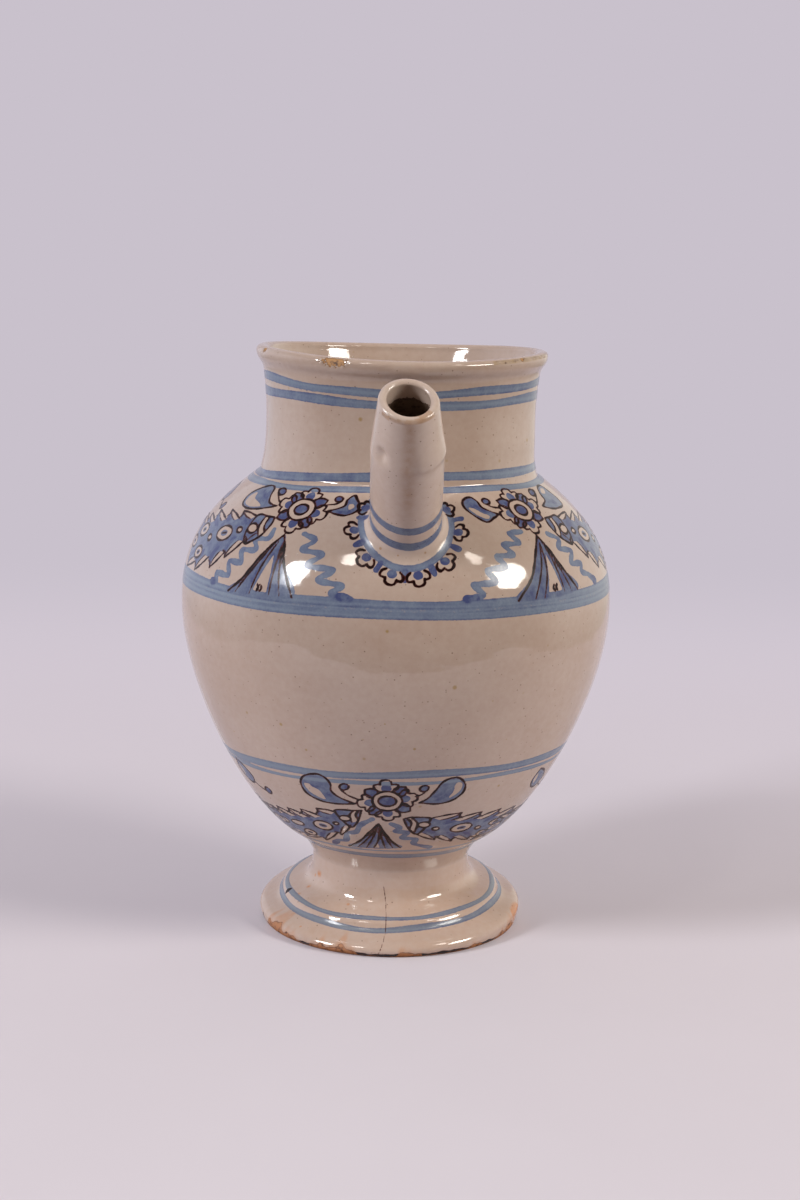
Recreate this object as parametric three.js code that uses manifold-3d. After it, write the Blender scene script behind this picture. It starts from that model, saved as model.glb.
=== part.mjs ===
// Spouted maiolica jug on a pedestal foot. Millimetres, +Z up.
// The origin is the middle of the standing ring, on the table. The spout points to -Y and the handle to +Y.
// The jug is thrown as a foot, a bowl, a shoulder and a neck. Slip joins them edge to edge,
// and the spout and the handle are luted on with soft clay before firing.

import * as THREE from 'three';
import { mergeVertices } from 'three/addons/utils/BufferGeometryUtils.js';
import Module from 'manifold-3d';

// Foot: a hollow pedestal with a flat standing ring
const STANDING_RADIUS = 51;
const STANDING_WIDTH = 7;
const FOOT_RADIUS = 53;
const FOOT_EDGE_HEIGHT = 5;
const FOOT_HEIGHT = 27;
const FOOT_FLARE_LOW = 9;
const FOOT_FLARE_HIGH = 9;
const FOOT_HOLLOW_DEPTH = 17;
const FOOT_HOLLOW_TOP_RADIUS = 22;

// Bowl: from the stem to the widest line of the belly
const STEM_RADIUS = 31.6;
const BOWL_HEIGHT = 103;
const BOWL_TURN_RADIUS = 38.8;
const BOWL_TURN_HEIGHT = 9;
const BOWL_TURN_SLOPE = 30;
const BOWL_TURN_EASE = 4.8;
const BOWL_LOW_FULLNESS = 26;
const BOWL_HIGH_FULLNESS = 31;
const BOWL_FLOOR = 7;

// Shoulder: from the belly line to the foot of the neck
const BELLY_RADIUS = 85;
const SHOULDER_HEIGHT = 51;
const SHOULDER_LOW_FULLNESS = 25;
const SHOULDER_HIGH_FULLNESS = 20;
const SHOULDER_END_SLOPE = 36;

// Neck: a slight waist and an out-turned lip
const NECK_SEAM_RADIUS = 55.4;
const NECK_HEIGHT = 45.4;
const NECK_ROOT_EASE = 3.4;
const NECK_WAIST_RADIUS = 52.3;
const NECK_WAIST_HEIGHT = 20;
const NECK_FULLNESS = 14;
const COLLAR_RADIUS = 53.4;
const COLLAR_BELOW_LIP = 9.5;
const LIP_RADIUS = 56.4;
const LIP_THICKNESS = 5;
const LIP_ROUNDING = 2;

// Walls and joints
const WALL = 4.5;
const SLIP_THICKNESS = 1.2;
const CLEARANCE = 0.3;

// Spout: a rolled tube that rises from the shoulder and leans a little to one side
const SPOUT_ROOT_BELOW_NECK = 12;
const SPOUT_ELEVATION = 53;
const SPOUT_SIDE_LEAN = 2.75;
const SPOUT_LENGTH = 60.5;
const SPOUT_STRAIGHT_LENGTH = 34;
const SPOUT_RADIUS = 13.1;
const SPOUT_TIP_RADIUS = 10.8;
const SPOUT_WALL = 3.2;
const SPOUT_TIP_ROUNDING = 1.2;
const SPOUT_COIL_THICKNESS = 7;

// Handle: a pulled strap from the neck down to the shoulder
const HANDLE_WIDTH = 26;
const HANDLE_THICKNESS = 9;
const HANDLE_REACH = 113;
const HANDLE_TOP_BELOW_LIP = 25;
const HANDLE_FOOT_ABOVE_BELLY = 15;
const HANDLE_RISE = 11;
const HANDLE_DROP = 24;
const HANDLE_PAD_WIDTH = 5;
const HANDLE_PAD_DEPTH = 8;

// Facets
const TURN_SEGMENTS = 40;
const TUBE_SEGMENTS = 24;
const COIL_SEGMENTS = 10;
const LONG_DIVISIONS = 9;
const SHORT_DIVISIONS = 4;
const LIP_DIVISIONS = 6;
const HANDLE_STEPS = 18;
const HANDLE_SIDE_DIVISIONS = 6;
const PAD_SEGMENTS = 18;
const PAD_RINGS = 10;

// Heights of the seams, worked out from the foot upwards
const bowlBase = FOOT_HEIGHT + SLIP_THICKNESS;
const bowlTop = bowlBase + BOWL_HEIGHT;
const shoulderBase = bowlTop + SLIP_THICKNESS;
const shoulderTop = shoulderBase + SHOULDER_HEIGHT;
const neckBase = shoulderTop + SLIP_THICKNESS;
const lipTop = neckBase + NECK_HEIGHT;
const neckSeamInnerRadius = NECK_SEAM_RADIUS - WALL;
const spoutBoreRadius = SPOUT_RADIUS - SPOUT_WALL;

const wasm = await Module();
wasm.setup();

// Profiles are lists of (radius, height) points, walked from the bottom to the top

function at(radius, height) {
  return new THREE.Vector2(radius, height);
}

function towards(point, slopeDegrees, distance) {
  const slope = THREE.MathUtils.degToRad(slopeDegrees);
  return at(point.x + distance * Math.cos(slope), point.y + distance * Math.sin(slope));
}

function curve(start, startHandle, endHandle, end, divisions) {
  return new THREE.CubicBezierCurve(start, startHandle, endHandle, end).getPoints(divisions);
}

function bend(start, corner, end) {
  return new THREE.QuadraticBezierCurve(start, corner, end).getPoints(SHORT_DIVISIONS);
}

// A half oval from the outer side of a rim over to its inner side
function overTop(middle, halfWidth, rise, divisions) {
  return new THREE.EllipseCurve(middle.x, middle.y, halfWidth, rise, 0, Math.PI).getPoints(divisions);
}

function joined(...pieces) {
  return pieces.flatMap((piece, index) => (index === 0 ? piece : piece.slice(1)));
}

// Moves a profile square to itself towards the jug's axis, or outwards for a negative depth
function inset(profile, depth) {
  return profile.map((point, index) => {
    const before = profile[Math.max(index - 1, 0)];
    const after = profile[Math.min(index + 1, profile.length - 1)];
    const along = after.clone().sub(before).normalize();
    return at(point.x - along.y * depth, point.y + along.x * depth);
  });
}

function footOutside() {
  const ring = at(STANDING_RADIUS, 0);
  const edge = at(FOOT_RADIUS, FOOT_EDGE_HEIGHT);
  const stem = at(STEM_RADIUS, FOOT_HEIGHT);
  const halfEdge = FOOT_EDGE_HEIGHT / 2;
  const roll = bend(ring, at(FOOT_RADIUS, halfEdge), edge);
  const low = at(edge.x, edge.y + FOOT_FLARE_LOW);
  const high = at(stem.x, stem.y - FOOT_FLARE_HIGH);
  return joined(roll, curve(edge, low, high, stem, LONG_DIVISIONS));
}

function footHollow() {
  const innerEdge = at(STANDING_RADIUS - STANDING_WIDTH, 0);
  const crown = at(FOOT_HOLLOW_TOP_RADIUS, FOOT_HOLLOW_DEPTH);
  return [...bend(innerEdge, at(innerEdge.x, FOOT_HOLLOW_DEPTH), crown), at(0, FOOT_HOLLOW_DEPTH)];
}

function bowlTurn() {
  return at(BOWL_TURN_RADIUS, bowlBase + BOWL_TURN_HEIGHT);
}

function bowlStem() {
  const stem = at(STEM_RADIUS, bowlBase);
  const turn = bowlTurn();
  return bend(stem, towards(turn, BOWL_TURN_SLOPE, -BOWL_TURN_EASE), turn);
}

function bowlSide() {
  const turn = bowlTurn();
  const belly = at(BELLY_RADIUS, bowlTop);
  const low = towards(turn, BOWL_TURN_SLOPE, BOWL_LOW_FULLNESS);
  return curve(turn, low, at(belly.x, belly.y - BOWL_HIGH_FULLNESS), belly, LONG_DIVISIONS);
}

function shoulderOutside() {
  const belly = at(BELLY_RADIUS, shoulderBase);
  const end = at(NECK_SEAM_RADIUS, shoulderTop);
  const low = at(belly.x, belly.y + SHOULDER_LOW_FULLNESS);
  const high = towards(end, -SHOULDER_END_SLOPE, SHOULDER_HIGH_FULLNESS);
  return curve(belly, low, high, end, LONG_DIVISIONS);
}

function neckOutside() {
  const root = at(NECK_SEAM_RADIUS, neckBase);
  const waist = at(NECK_WAIST_RADIUS, neckBase + NECK_WAIST_HEIGHT);
  const collar = at(COLLAR_RADIUS, lipTop - COLLAR_BELOW_LIP);
  const lip = at(LIP_RADIUS, lipTop - LIP_ROUNDING);
  const rootHandle = towards(root, 180 - SHOULDER_END_SLOPE, NECK_ROOT_EASE);
  const lipBend = (lip.y - collar.y) / 2;
  const lower = curve(root, rootHandle, at(waist.x, waist.y - NECK_FULLNESS), waist, SHORT_DIVISIONS);
  const upper = bend(waist, at(waist.x, (waist.y + collar.y) / 2), collar);
  const flare = curve(
    collar,
    towards(collar, 90, lipBend),
    towards(lip, -90, lipBend),
    lip,
    SHORT_DIVISIONS,
  );
  return joined(lower, upper, flare);
}

// The rounded top of the lip, walked from the outside over to the inside
function lipTurn() {
  const half = LIP_THICKNESS / 2;
  const middle = at(LIP_RADIUS - half, lipTop - LIP_ROUNDING);
  return overTop(middle, half, LIP_ROUNDING, LIP_DIVISIONS);
}

// Solids

function turned(profile, segments = TURN_SEGMENTS) {
  return new THREE.LatheGeometry(profile, segments).rotateX(Math.PI / 2);
}

function ring(outside, inside) {
  return turned([...outside, ...inside.slice().reverse(), outside[0]]);
}

function solid(geometry) {
  const bare = geometry.clone();
  bare.deleteAttribute('normal');
  bare.deleteAttribute('uv');
  const merged = mergeVertices(bare);
  const vertProperties = new Float32Array(merged.attributes.position.array);
  const triVerts = new Uint32Array(merged.index.array);
  return new wasm.Manifold(new wasm.Mesh({ numProp: 3, vertProperties, triVerts }));
}

function geometryOf(manifold) {
  const mesh = manifold.getMesh();
  const geometry = new THREE.BufferGeometry();
  geometry.setAttribute('position', new THREE.BufferAttribute(mesh.vertProperties, 3));
  geometry.setIndex(new THREE.BufferAttribute(mesh.triVerts, 1));
  geometry.computeVertexNormals();
  return geometry;
}

// The whole outside of the body as one filled form, stood off by the clearance.
// It trims what is luted on.
function bodyCore() {
  const outside = [...bowlSide(), ...shoulderOutside(), ...neckOutside()];
  const proud = inset(outside, -CLEARANCE);
  return turned([at(0, proud[0].y), ...proud, at(0, proud[proud.length - 1].y)]);
}

// Foot, bowl, shoulder and neck

function footGeometry() {
  const hollow = footHollow().reverse();
  return turned([...hollow, ...footOutside(), at(0, FOOT_HEIGHT)]);
}

function bowlGeometry() {
  const inside = inset(bowlSide(), WALL);
  inside[inside.length - 1] = at(BELLY_RADIUS - WALL, bowlTop);
  const floor = at(0, bowlBase + BOWL_FLOOR);
  const floorBend = at(inside[0].x / 2, floor.y);
  const inner = joined(bend(floor, floorBend, inside[0]), inside).reverse();
  return turned([at(0, bowlBase), ...joined(bowlStem(), bowlSide()), ...inner]);
}

function shoulderGeometry() {
  const inside = inset(shoulderOutside(), WALL).filter((point) => point.x > neckSeamInnerRadius);
  inside[0] = at(BELLY_RADIUS - WALL, shoulderBase);
  return ring(shoulderOutside(), [...inside, at(neckSeamInnerRadius, shoulderTop)]);
}

function neckGeometry() {
  const outside = neckOutside();
  const lipBase = lipTop - LIP_ROUNDING;
  const inside = inset(outside, WALL).filter((point) => point.y > neckBase && point.y < lipBase);
  const inner = [at(neckSeamInnerRadius, neckBase), ...inside];
  return ring(joined(outside, lipTurn()), inner);
}

function seamGeometry(radius, height) {
  const outside = [at(radius, height), at(radius, height + SLIP_THICKNESS)];
  const inside = [at(radius - WALL, height), at(radius - WALL, height + SLIP_THICKNESS)];
  return ring(outside, inside);
}

function footSeamGeometry() {
  const side = [at(STEM_RADIUS, FOOT_HEIGHT), at(STEM_RADIUS, bowlBase)];
  return turned([at(0, FOOT_HEIGHT), ...side, at(0, bowlBase)]);
}

// The stretch of the shoulder's outside that crosses a height
function shoulderStretchAt(height) {
  const profile = shoulderOutside();
  const upper = profile.findIndex((point) => point.y >= height);
  return [profile[upper - 1], profile[upper]];
}

function shoulderRadiusAt(height) {
  const [low, high] = shoulderStretchAt(height);
  return THREE.MathUtils.mapLinear(height, low.y, high.y, low.x, high.x);
}

// How far the shoulder's surface leans back from upright at a height, in radians
function shoulderLeanAt(height) {
  const [low, high] = shoulderStretchAt(height);
  return Math.atan2(low.x - high.x, high.y - low.y);
}

// Spout, in its own frame: its axis is +Z and its root on the shoulder is at zero

const spoutRootHeight = shoulderTop - SPOUT_ROOT_BELOW_NECK;
const spoutSunk = SPOUT_RADIUS + SPOUT_COIL_THICKNESS;

const spoutFrame = new THREE.Group();
spoutFrame.position.set(0, -shoulderRadiusAt(spoutRootHeight), spoutRootHeight);
spoutFrame.rotation.x = THREE.MathUtils.degToRad(90 - SPOUT_ELEVATION);
spoutFrame.rotation.y = THREE.MathUtils.degToRad(-SPOUT_SIDE_LEAN);
spoutFrame.updateMatrix();

function spoutOutside(extra) {
  const straight = at(SPOUT_RADIUS + extra, SPOUT_STRAIGHT_LENGTH);
  const tip = at(SPOUT_TIP_RADIUS + extra, SPOUT_LENGTH - SPOUT_TIP_ROUNDING);
  const ease = (tip.y - straight.y) / 2;
  const taper = curve(straight, towards(straight, 90, ease), towards(tip, -90, ease), tip, SHORT_DIVISIONS);
  return [at(SPOUT_RADIUS + extra, -spoutSunk), at(SPOUT_RADIUS + extra, 0), ...taper];
}

function spoutTubeGeometry() {
  const outside = spoutOutside(0);
  const inside = spoutOutside(-SPOUT_WALL);
  const half = SPOUT_WALL / 2;
  const middle = at(SPOUT_TIP_RADIUS - half, SPOUT_LENGTH - SPOUT_TIP_ROUNDING);
  const over = overTop(middle, half, SPOUT_TIP_ROUNDING, SHORT_DIVISIONS);
  return turned([...joined(outside, over), ...inside.reverse().slice(1), outside[0]], TUBE_SEGMENTS);
}

// A round coil of clay pressed into the corner, lying flat on the leaning shoulder
function spoutCoilGeometry() {
  const squareToShoulder = Math.PI / 2 - shoulderLeanAt(spoutRootHeight);
  const half = SPOUT_COIL_THICKNESS / 2;
  const coil = new THREE.TorusGeometry(SPOUT_RADIUS, half, COIL_SEGMENTS, TUBE_SEGMENTS);
  return coil.rotateX(squareToShoulder - spoutFrame.rotation.x).rotateY(-spoutFrame.rotation.y);
}

// The tube's outside, filled and stood off by the clearance, for trimming the coil
function spoutOutline() {
  const outside = spoutOutside(CLEARANCE);
  return turned([at(0, -spoutSunk), ...outside, at(0, outside[outside.length - 1].y)], TUBE_SEGMENTS);
}

function boreGeometry() {
  const bore = [
    at(0, -spoutSunk),
    at(spoutBoreRadius, -spoutSunk),
    at(spoutBoreRadius, spoutSunk),
    at(0, spoutSunk),
  ];
  return turned(bore, TUBE_SEGMENTS).applyMatrix4(spoutFrame.matrix);
}

// Handle: an oval strap along an ear-shaped curve in the plane of the spout

const handleTopHeight = lipTop - HANDLE_TOP_BELOW_LIP;
const handleFootHeight = shoulderBase + HANDLE_FOOT_ABOVE_BELLY;
const handleTopSeat = NECK_WAIST_RADIUS;
const handleFootSeat = shoulderRadiusAt(handleFootHeight);

// The middle of a cubic takes three quarters of its place from its two handles and the rest from its ends
const HANDLES_SHARE = 0.75;

function handlePath() {
  const start = new THREE.Vector3(0, handleTopSeat - WALL, handleTopHeight);
  const end = new THREE.Vector3(0, handleFootSeat - WALL, handleFootHeight);
  const spine = HANDLE_REACH - HANDLE_THICKNESS / 2;
  const ends = (start.y + end.y) / 2;
  const bow = (spine - ends * (1 - HANDLES_SHARE)) / HANDLES_SHARE;
  const startHandle = new THREE.Vector3(0, bow, start.z + HANDLE_RISE);
  const endHandle = new THREE.Vector3(0, bow, end.z + HANDLE_DROP);
  return new THREE.CubicBezierCurve3(start, startHandle, endHandle, end);
}

function strapGeometry(extra) {
  const section = new THREE.Shape();
  section.absellipse(0, 0, HANDLE_WIDTH / 2 + extra, HANDLE_THICKNESS / 2 + extra, 0, 2 * Math.PI);
  return new THREE.ExtrudeGeometry(section, {
    steps: HANDLE_STEPS,
    curveSegments: HANDLE_SIDE_DIVISIONS,
    extrudePath: handlePath(),
  });
}

function padGeometry(radius, height) {
  return new THREE.SphereGeometry(1, PAD_SEGMENTS, PAD_RINGS)
    .scale(
      HANDLE_WIDTH / 2 + HANDLE_PAD_WIDTH,
      HANDLE_PAD_DEPTH,
      HANDLE_THICKNESS / 2 + HANDLE_PAD_WIDTH,
    )
    .translate(0, radius, height);
}

// Pieces: every name is a piece of clay that the potter handles by itself

const core = solid(bodyCore());
const coreFromSpout = solid(bodyCore().applyMatrix4(spoutFrame.matrix.clone().invert()));
const strapClearance = solid(strapGeometry(CLEARANCE));
const spoutRoom = solid(spoutOutline()).add(coreFromSpout);

const pouredShoulder = geometryOf(solid(shoulderGeometry()).subtract(solid(boreGeometry())));
const spoutTube = geometryOf(solid(spoutTubeGeometry()).subtract(coreFromSpout));
const spoutCoil = geometryOf(solid(spoutCoilGeometry()).subtract(spoutRoom));
const strap = geometryOf(solid(strapGeometry(0)).subtract(core));

function glazed(colour, roughness) {
  return new THREE.MeshStandardMaterial({ color: colour, roughness, metalness: 0 });
}

function piece(name, geometry, material) {
  const mesh = new THREE.Mesh(geometry, material);
  mesh.name = name;
  return mesh;
}

function lutedPad(radius, height) {
  return geometryOf(solid(padGeometry(radius, height)).subtract(core).subtract(strapClearance));
}

const jug = new THREE.Group();

jug.add(
  piece('foot', footGeometry(), glazed(0xb9a692, 0.3)),
  piece('foot_slip_joint', footSeamGeometry(), glazed(0xa78f78, 0.6)),
  piece('bowl', bowlGeometry(), glazed(0xc4b4a2, 0.22)),
  piece('belly_slip_joint', seamGeometry(BELLY_RADIUS, bowlTop), glazed(0xa78f78, 0.6)),
  piece('shoulder', pouredShoulder, glazed(0xc2b5a6, 0.22)),
  piece('neck_slip_joint', seamGeometry(NECK_SEAM_RADIUS, shoulderTop), glazed(0xa78f78, 0.6)),
  piece('neck', neckGeometry(), glazed(0xc0b2a2, 0.24)),
);

spoutFrame.add(
  piece('spout', spoutTube, glazed(0xc0b3a4, 0.24)),
  piece('spout_luting_coil', spoutCoil, glazed(0x5b6480, 0.26)),
);
jug.add(spoutFrame);

jug.add(
  piece('handle', strap, glazed(0xbfb1a1, 0.24)),
  piece('handle_upper_luting', lutedPad(handleTopSeat, handleTopHeight), glazed(0xbcae9e, 0.28)),
  piece('handle_lower_luting', lutedPad(handleFootSeat, handleFootHeight), glazed(0xbcae9e, 0.28)),
);

export default jug;
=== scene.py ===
"""Looks of a spouted maiolica jug: tin-glazed earthenware, painted in blue with dark outlines.

Lengths are millimetres until a mesh is made in metres, and named angles are degrees.
A turn is the angle round the jug: 0 is the spout's side and turns grow towards +X.
A climb is the distance walked up the jug's outside from the edge of the standing ring.
"""

import bpy
import numpy as np
from mathutils import Matrix, Vector


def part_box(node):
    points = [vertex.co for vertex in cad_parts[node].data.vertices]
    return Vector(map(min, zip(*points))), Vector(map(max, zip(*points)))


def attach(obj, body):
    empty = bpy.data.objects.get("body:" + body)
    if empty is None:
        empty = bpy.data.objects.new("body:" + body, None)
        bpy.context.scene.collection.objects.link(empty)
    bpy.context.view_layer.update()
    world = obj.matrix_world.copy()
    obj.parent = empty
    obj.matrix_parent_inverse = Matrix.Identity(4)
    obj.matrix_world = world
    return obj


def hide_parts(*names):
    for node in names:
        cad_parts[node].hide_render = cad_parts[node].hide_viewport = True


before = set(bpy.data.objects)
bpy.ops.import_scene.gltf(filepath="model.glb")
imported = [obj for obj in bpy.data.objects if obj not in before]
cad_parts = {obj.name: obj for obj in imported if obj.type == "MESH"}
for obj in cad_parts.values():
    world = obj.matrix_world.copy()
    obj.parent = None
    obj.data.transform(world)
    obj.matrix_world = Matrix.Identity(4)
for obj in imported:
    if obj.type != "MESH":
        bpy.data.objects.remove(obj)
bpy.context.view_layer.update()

MM = 0.001


def extent(node):
    """The base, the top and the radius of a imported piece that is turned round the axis."""
    low, high = np.array(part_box(node)) / MM
    return low[2], high[2], high[0]


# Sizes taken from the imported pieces
_, FOOT_TOP, FOOT_RADIUS = extent("foot")
BOWL_BASE, BOWL_TOP, BELLY_RADIUS = extent("bowl")
SHOULDER_BASE, SHOULDER_TOP, _ = extent("shoulder")
NECK_BASE, LIP_TOP, LIP_RADIUS = extent("neck")
FOOT_SEAM = (FOOT_TOP + BOWL_BASE) / 2
BELLY_SEAM = (BOWL_TOP + SHOULDER_BASE) / 2
NECK_SEAM = (SHOULDER_TOP + NECK_BASE) / 2

# Sizes of the turned outline between those heights; the foot's are (inward, height) points
STANDING_RADIUS, STANDING_WIDTH = 51, 7
FOOT_ROLL = ((2, 0), (0.6, 1.1), (0, 2.4), (0.5, 3.7), (1.8, 5), (4, 6))
FOOT_FLARE = ((6.4, 7), (8.3, 8.2), (9.1, 9.6), (9.7, 11), (11.1, 12.1), (13, 12.8), (15, 13.4),
              (16.9, 14.1), (18.5, 15), (19.7, 16.2), (20.5, 17.9), (21, 20), (21.3, 23))
FOOT_LEAN, FOOT_LEAN_BASE, FOOT_LEAN_TOP = 3.6, 2.4, 16
FOOT_HOLLOW_DEPTH, FOOT_HOLLOW_TOP_RADIUS = 15, 22
STEM_RADIUS = 31.6
BOWL_TURN = (38.8, BOWL_BASE + 9)
BOWL_TURN_SLOPE, BOWL_TURN_EASE = 30, 4.8
BOWL_LOW_FULLNESS, BOWL_HIGH_FULLNESS = 26, 31
BOWL_FLOOR = 7
SHOULDER_LOW_FULLNESS, SHOULDER_HIGH_FULLNESS, SHOULDER_END_SLOPE = 25, 22, 37
NECK_SEAM_RADIUS, NECK_ROOT_SLOPE, NECK_ROOT_EASE = 54.2, 79, 3
NECK_WAIST = (52.3, NECK_BASE + 20)
NECK_FULLNESS = 14
COLLAR = (53.4, LIP_TOP - 9.5)
LIP_THICKNESS, LIP_ROUNDING = 5, 2
LIP_SIDE_RISE, LIP_FRONT_SAG, LIP_BACK_SAG, LIP_SAG_TURNS = 1.7, 0.5, 0.7, (35, 165)
NECK_SPREAD, NECK_SPREAD_RISE = 0.95, 14
WALL = 4.5
OUTLINE_STEP, OUTLINE_ROUNDING = 0.1, 0.6

# Spout
SPOUT_ROOT_HEIGHT = SHOULDER_TOP - 12
SPOUT_ELEVATION, SPOUT_SIDE_LEAN, SPOUT_ASIDE = 53, 2.05, 0.75
SPOUT_LENGTH, SPOUT_CREASE, SPOUT_TIP_TILT, SPOUT_TIP_SLANT = 61.4, 38.8, 0.55, 0.7
SPOUT_SWELL, SPOUT_DIMPLE, SPOUT_DIMPLE_REACH = 0.75, 1.7, 2.7
SPOUT_RADIUS, SPOUT_TIP_RADIUS, SPOUT_WALL, SPOUT_TIP_ROUNDING = 13.1, 10.5, 3, 1.2
SPOUT_FILLET = 4.5

# Handle
HANDLE_WIDTH, HANDLE_THICKNESS, HANDLE_REACH = 26, 9, 113
HANDLE_TOP_HEIGHT = LIP_TOP - 25
HANDLE_FOOT_HEIGHT = SHOULDER_BASE + 15
HANDLE_RISE, HANDLE_DROP = 11, 24
HANDLE_PAD_WIDTH, HANDLE_PAD_REACH, HANDLE_SEAT = 5, 10, 1.5
HANDLE_GROOVE = 0.9

# How fine the meshes are: points round each piece, the spacing of rows, and the heights where painting ends
FOOT_COLUMNS, BOWL_COLUMNS, SHOULDER_COLUMNS, NECK_COLUMNS = 600, 640, 800, 560
SPOUT_COLUMNS, SPOUT_ROWS, BORE_COLUMNS, HANDLE_COLUMNS = 220, 120, 64, 96
FOOT_STEP, BOWL_STEP, SHOULDER_STEP, NECK_STEP = 0.6, 0.56, 0.5, 0.6
PLAIN_BOWL_STEP, PLAIN_SHOULDER_STEP, INSIDE_STEP, NECK_INSIDE_STEP = 2.5, 1.5, 6, 1.5
BOWL_PAINT_TOP, SHOULDER_PAINT_BASE = 82, 138

# Camera, fitted to the jug's outline in the photograph
CAMERA_TURN, CAMERA_DISTANCE, CAMERA_HEIGHT = -3.2, 806, 282
CAMERA_PITCH, CAMERA_ROLL, CAMERA_LOOK_ASIDE = 10.62, 1.24, 0.12
CAMERA_LENS, CAMERA_SENSOR = 61.63, 36


# Curves

def bezier(points, count):
    points = [np.array(point, float) for point in points]
    t = np.linspace(0, 1, count)[:, None]
    while len(points) > 1:
        points = [a + (b - a) * t for a, b in zip(points[:-1], points[1:])]
    return points[0]


def towards(point, slope, distance):
    slope = np.radians(slope)
    return point[0] + distance * np.cos(slope), point[1] + distance * np.sin(slope)


def walk(path):
    """The distance from a path's start at each of its points."""
    return np.concatenate([[0], np.cumsum(np.linalg.norm(np.diff(path, axis=0), axis=1))])


def stretch_of(path, along, low, high, spacing):
    """Points about a spacing apart on a path, from one distance along it to another."""
    places = np.linspace(low, high, max(int(round((high - low) / spacing)), 1) + 1)
    return np.stack([np.interp(places, along, path[:, i]) for i in range(2)], 1)


def evenly(path, spacing):
    along = walk(path)
    return stretch_of(path, along, 0, along[-1], spacing)


def softened(path, spacing, reach):
    """Rounds a path's corners over a reach, with its ends kept."""
    path = evenly(path, spacing)
    half = int(round(3 * reach / spacing))
    weights = np.exp(-0.5 * (np.arange(-half, half + 1) * spacing / reach) ** 2)
    padded = np.pad(path, ((half, half), (0, 0)), mode="reflect", reflect_type="odd")
    return np.stack([np.convolve(padded[:, i], weights / weights.sum(), "valid") for i in range(2)], 1)


FLOW_STEPS = 8


def flowing(points, closed=False):
    """A smooth path through given points, with some steps from each to the next."""
    points = np.array(points, float)
    if closed:
        before, ends, later = (np.roll(points, shift, 0) for shift in (1, -1, -2))
    else:
        padded = np.concatenate([[2 * points[0] - points[1]], points, [2 * points[-1] - points[-2]]])
        before, points, ends, later = padded[:-3], padded[1:-2], padded[2:-1], padded[3:]
    t = np.linspace(0, 1, FLOW_STEPS, endpoint=False)[:, None]
    stretches = [
        0.5 * (2 * b + (c - a) * t + (2 * a - 5 * b + 4 * c - d) * t**2 + (3 * b - a - 3 * c + d) * t**3)
        for a, b, c, d in zip(before, points, ends, later)
    ]
    return np.concatenate(stretches + [ends[-1:]])


def eased(share):
    """Grows smoothly from 0 to 1."""
    share = np.clip(share, 0, 1)
    return share**2 * (3 - 2 * share)


def ring_angles(count):
    return np.arange(count) * 2 * np.pi / count


def wrapped(angle):
    """The same angle between -180 and 180."""
    return (angle + 180) % 360 - 180


# The jug's outline, as (radius, height) points from the standing ring up to the lip

def jug_outline():
    stem = (STEM_RADIUS, FOOT_TOP)
    foot = flowing([(FOOT_RADIUS - inward, height) for inward, height in FOOT_ROLL + FOOT_FLARE] + [stem])
    stem_corner = towards(BOWL_TURN, BOWL_TURN_SLOPE, -BOWL_TURN_EASE)
    bowl_stem = bezier([(STEM_RADIUS, BOWL_BASE), stem_corner, BOWL_TURN], 30)
    belly_low, belly_high = (BELLY_RADIUS, BOWL_TOP), (BELLY_RADIUS, SHOULDER_BASE)
    bowl_low = towards(BOWL_TURN, BOWL_TURN_SLOPE, BOWL_LOW_FULLNESS)
    bowl = bezier([BOWL_TURN, bowl_low, towards(belly_low, -90, BOWL_HIGH_FULLNESS), belly_low], 120)
    end = (NECK_SEAM_RADIUS, SHOULDER_TOP)
    shoulder_high = towards(end, -SHOULDER_END_SLOPE, SHOULDER_HIGH_FULLNESS)
    shoulder = bezier([belly_high, towards(belly_high, 90, SHOULDER_LOW_FULLNESS), shoulder_high, end], 100)
    root = (NECK_SEAM_RADIUS, NECK_BASE)
    root_ease = towards(root, 180 - NECK_ROOT_SLOPE, NECK_ROOT_EASE)
    neck_low = bezier([root, root_ease, towards(NECK_WAIST, -90, NECK_FULLNESS), NECK_WAIST], 50)
    neck = bezier([NECK_WAIST, (NECK_WAIST[0], (NECK_WAIST[1] + COLLAR[1]) / 2), COLLAR], 40)
    lip = (LIP_RADIUS, LIP_TOP - LIP_ROUNDING)
    bend = (lip[1] - COLLAR[1]) / 2
    flare = bezier([COLLAR, towards(COLLAR, 90, bend), towards(lip, -90, bend), lip], 30)
    return np.concatenate([foot, bowl_stem, bowl, shoulder, neck_low, neck, flare])


OUTLINE = softened(jug_outline(), OUTLINE_STEP, OUTLINE_ROUNDING)
CLIMB = walk(OUTLINE)
SLOPE = np.gradient(OUTLINE, axis=0)
SLOPE /= np.linalg.norm(SLOPE, axis=1)[:, None]
OUTWARD = np.stack([SLOPE[:, 1], -SLOPE[:, 0]], 1)


def climb_at(height):
    return np.interp(height, OUTLINE[:, 1], CLIMB)


def radius_at(height):
    return np.interp(height, OUTLINE[:, 1], OUTLINE[:, 0])


def rows_between(heights, spacings):
    """Rows of the outline between successive heights, each stretch with its own spacing."""
    climbs = climb_at(heights)
    rows = [stretch_of(OUTLINE, CLIMB, *one) for one in zip(climbs[:-1], climbs[1:], spacings)]
    return np.concatenate([one[:-1] for one in rows] + [rows[-1][-1:]])


def wall_inside(low, high, spacing):
    """The inside of the wall between two heights, from the top down."""
    inner = OUTLINE - WALL * OUTWARD
    inner = inner[(OUTLINE[:, 1] >= low) & (OUTLINE[:, 1] <= high)]
    return evenly(inner, spacing)[::-1]


# Meshes

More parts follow.
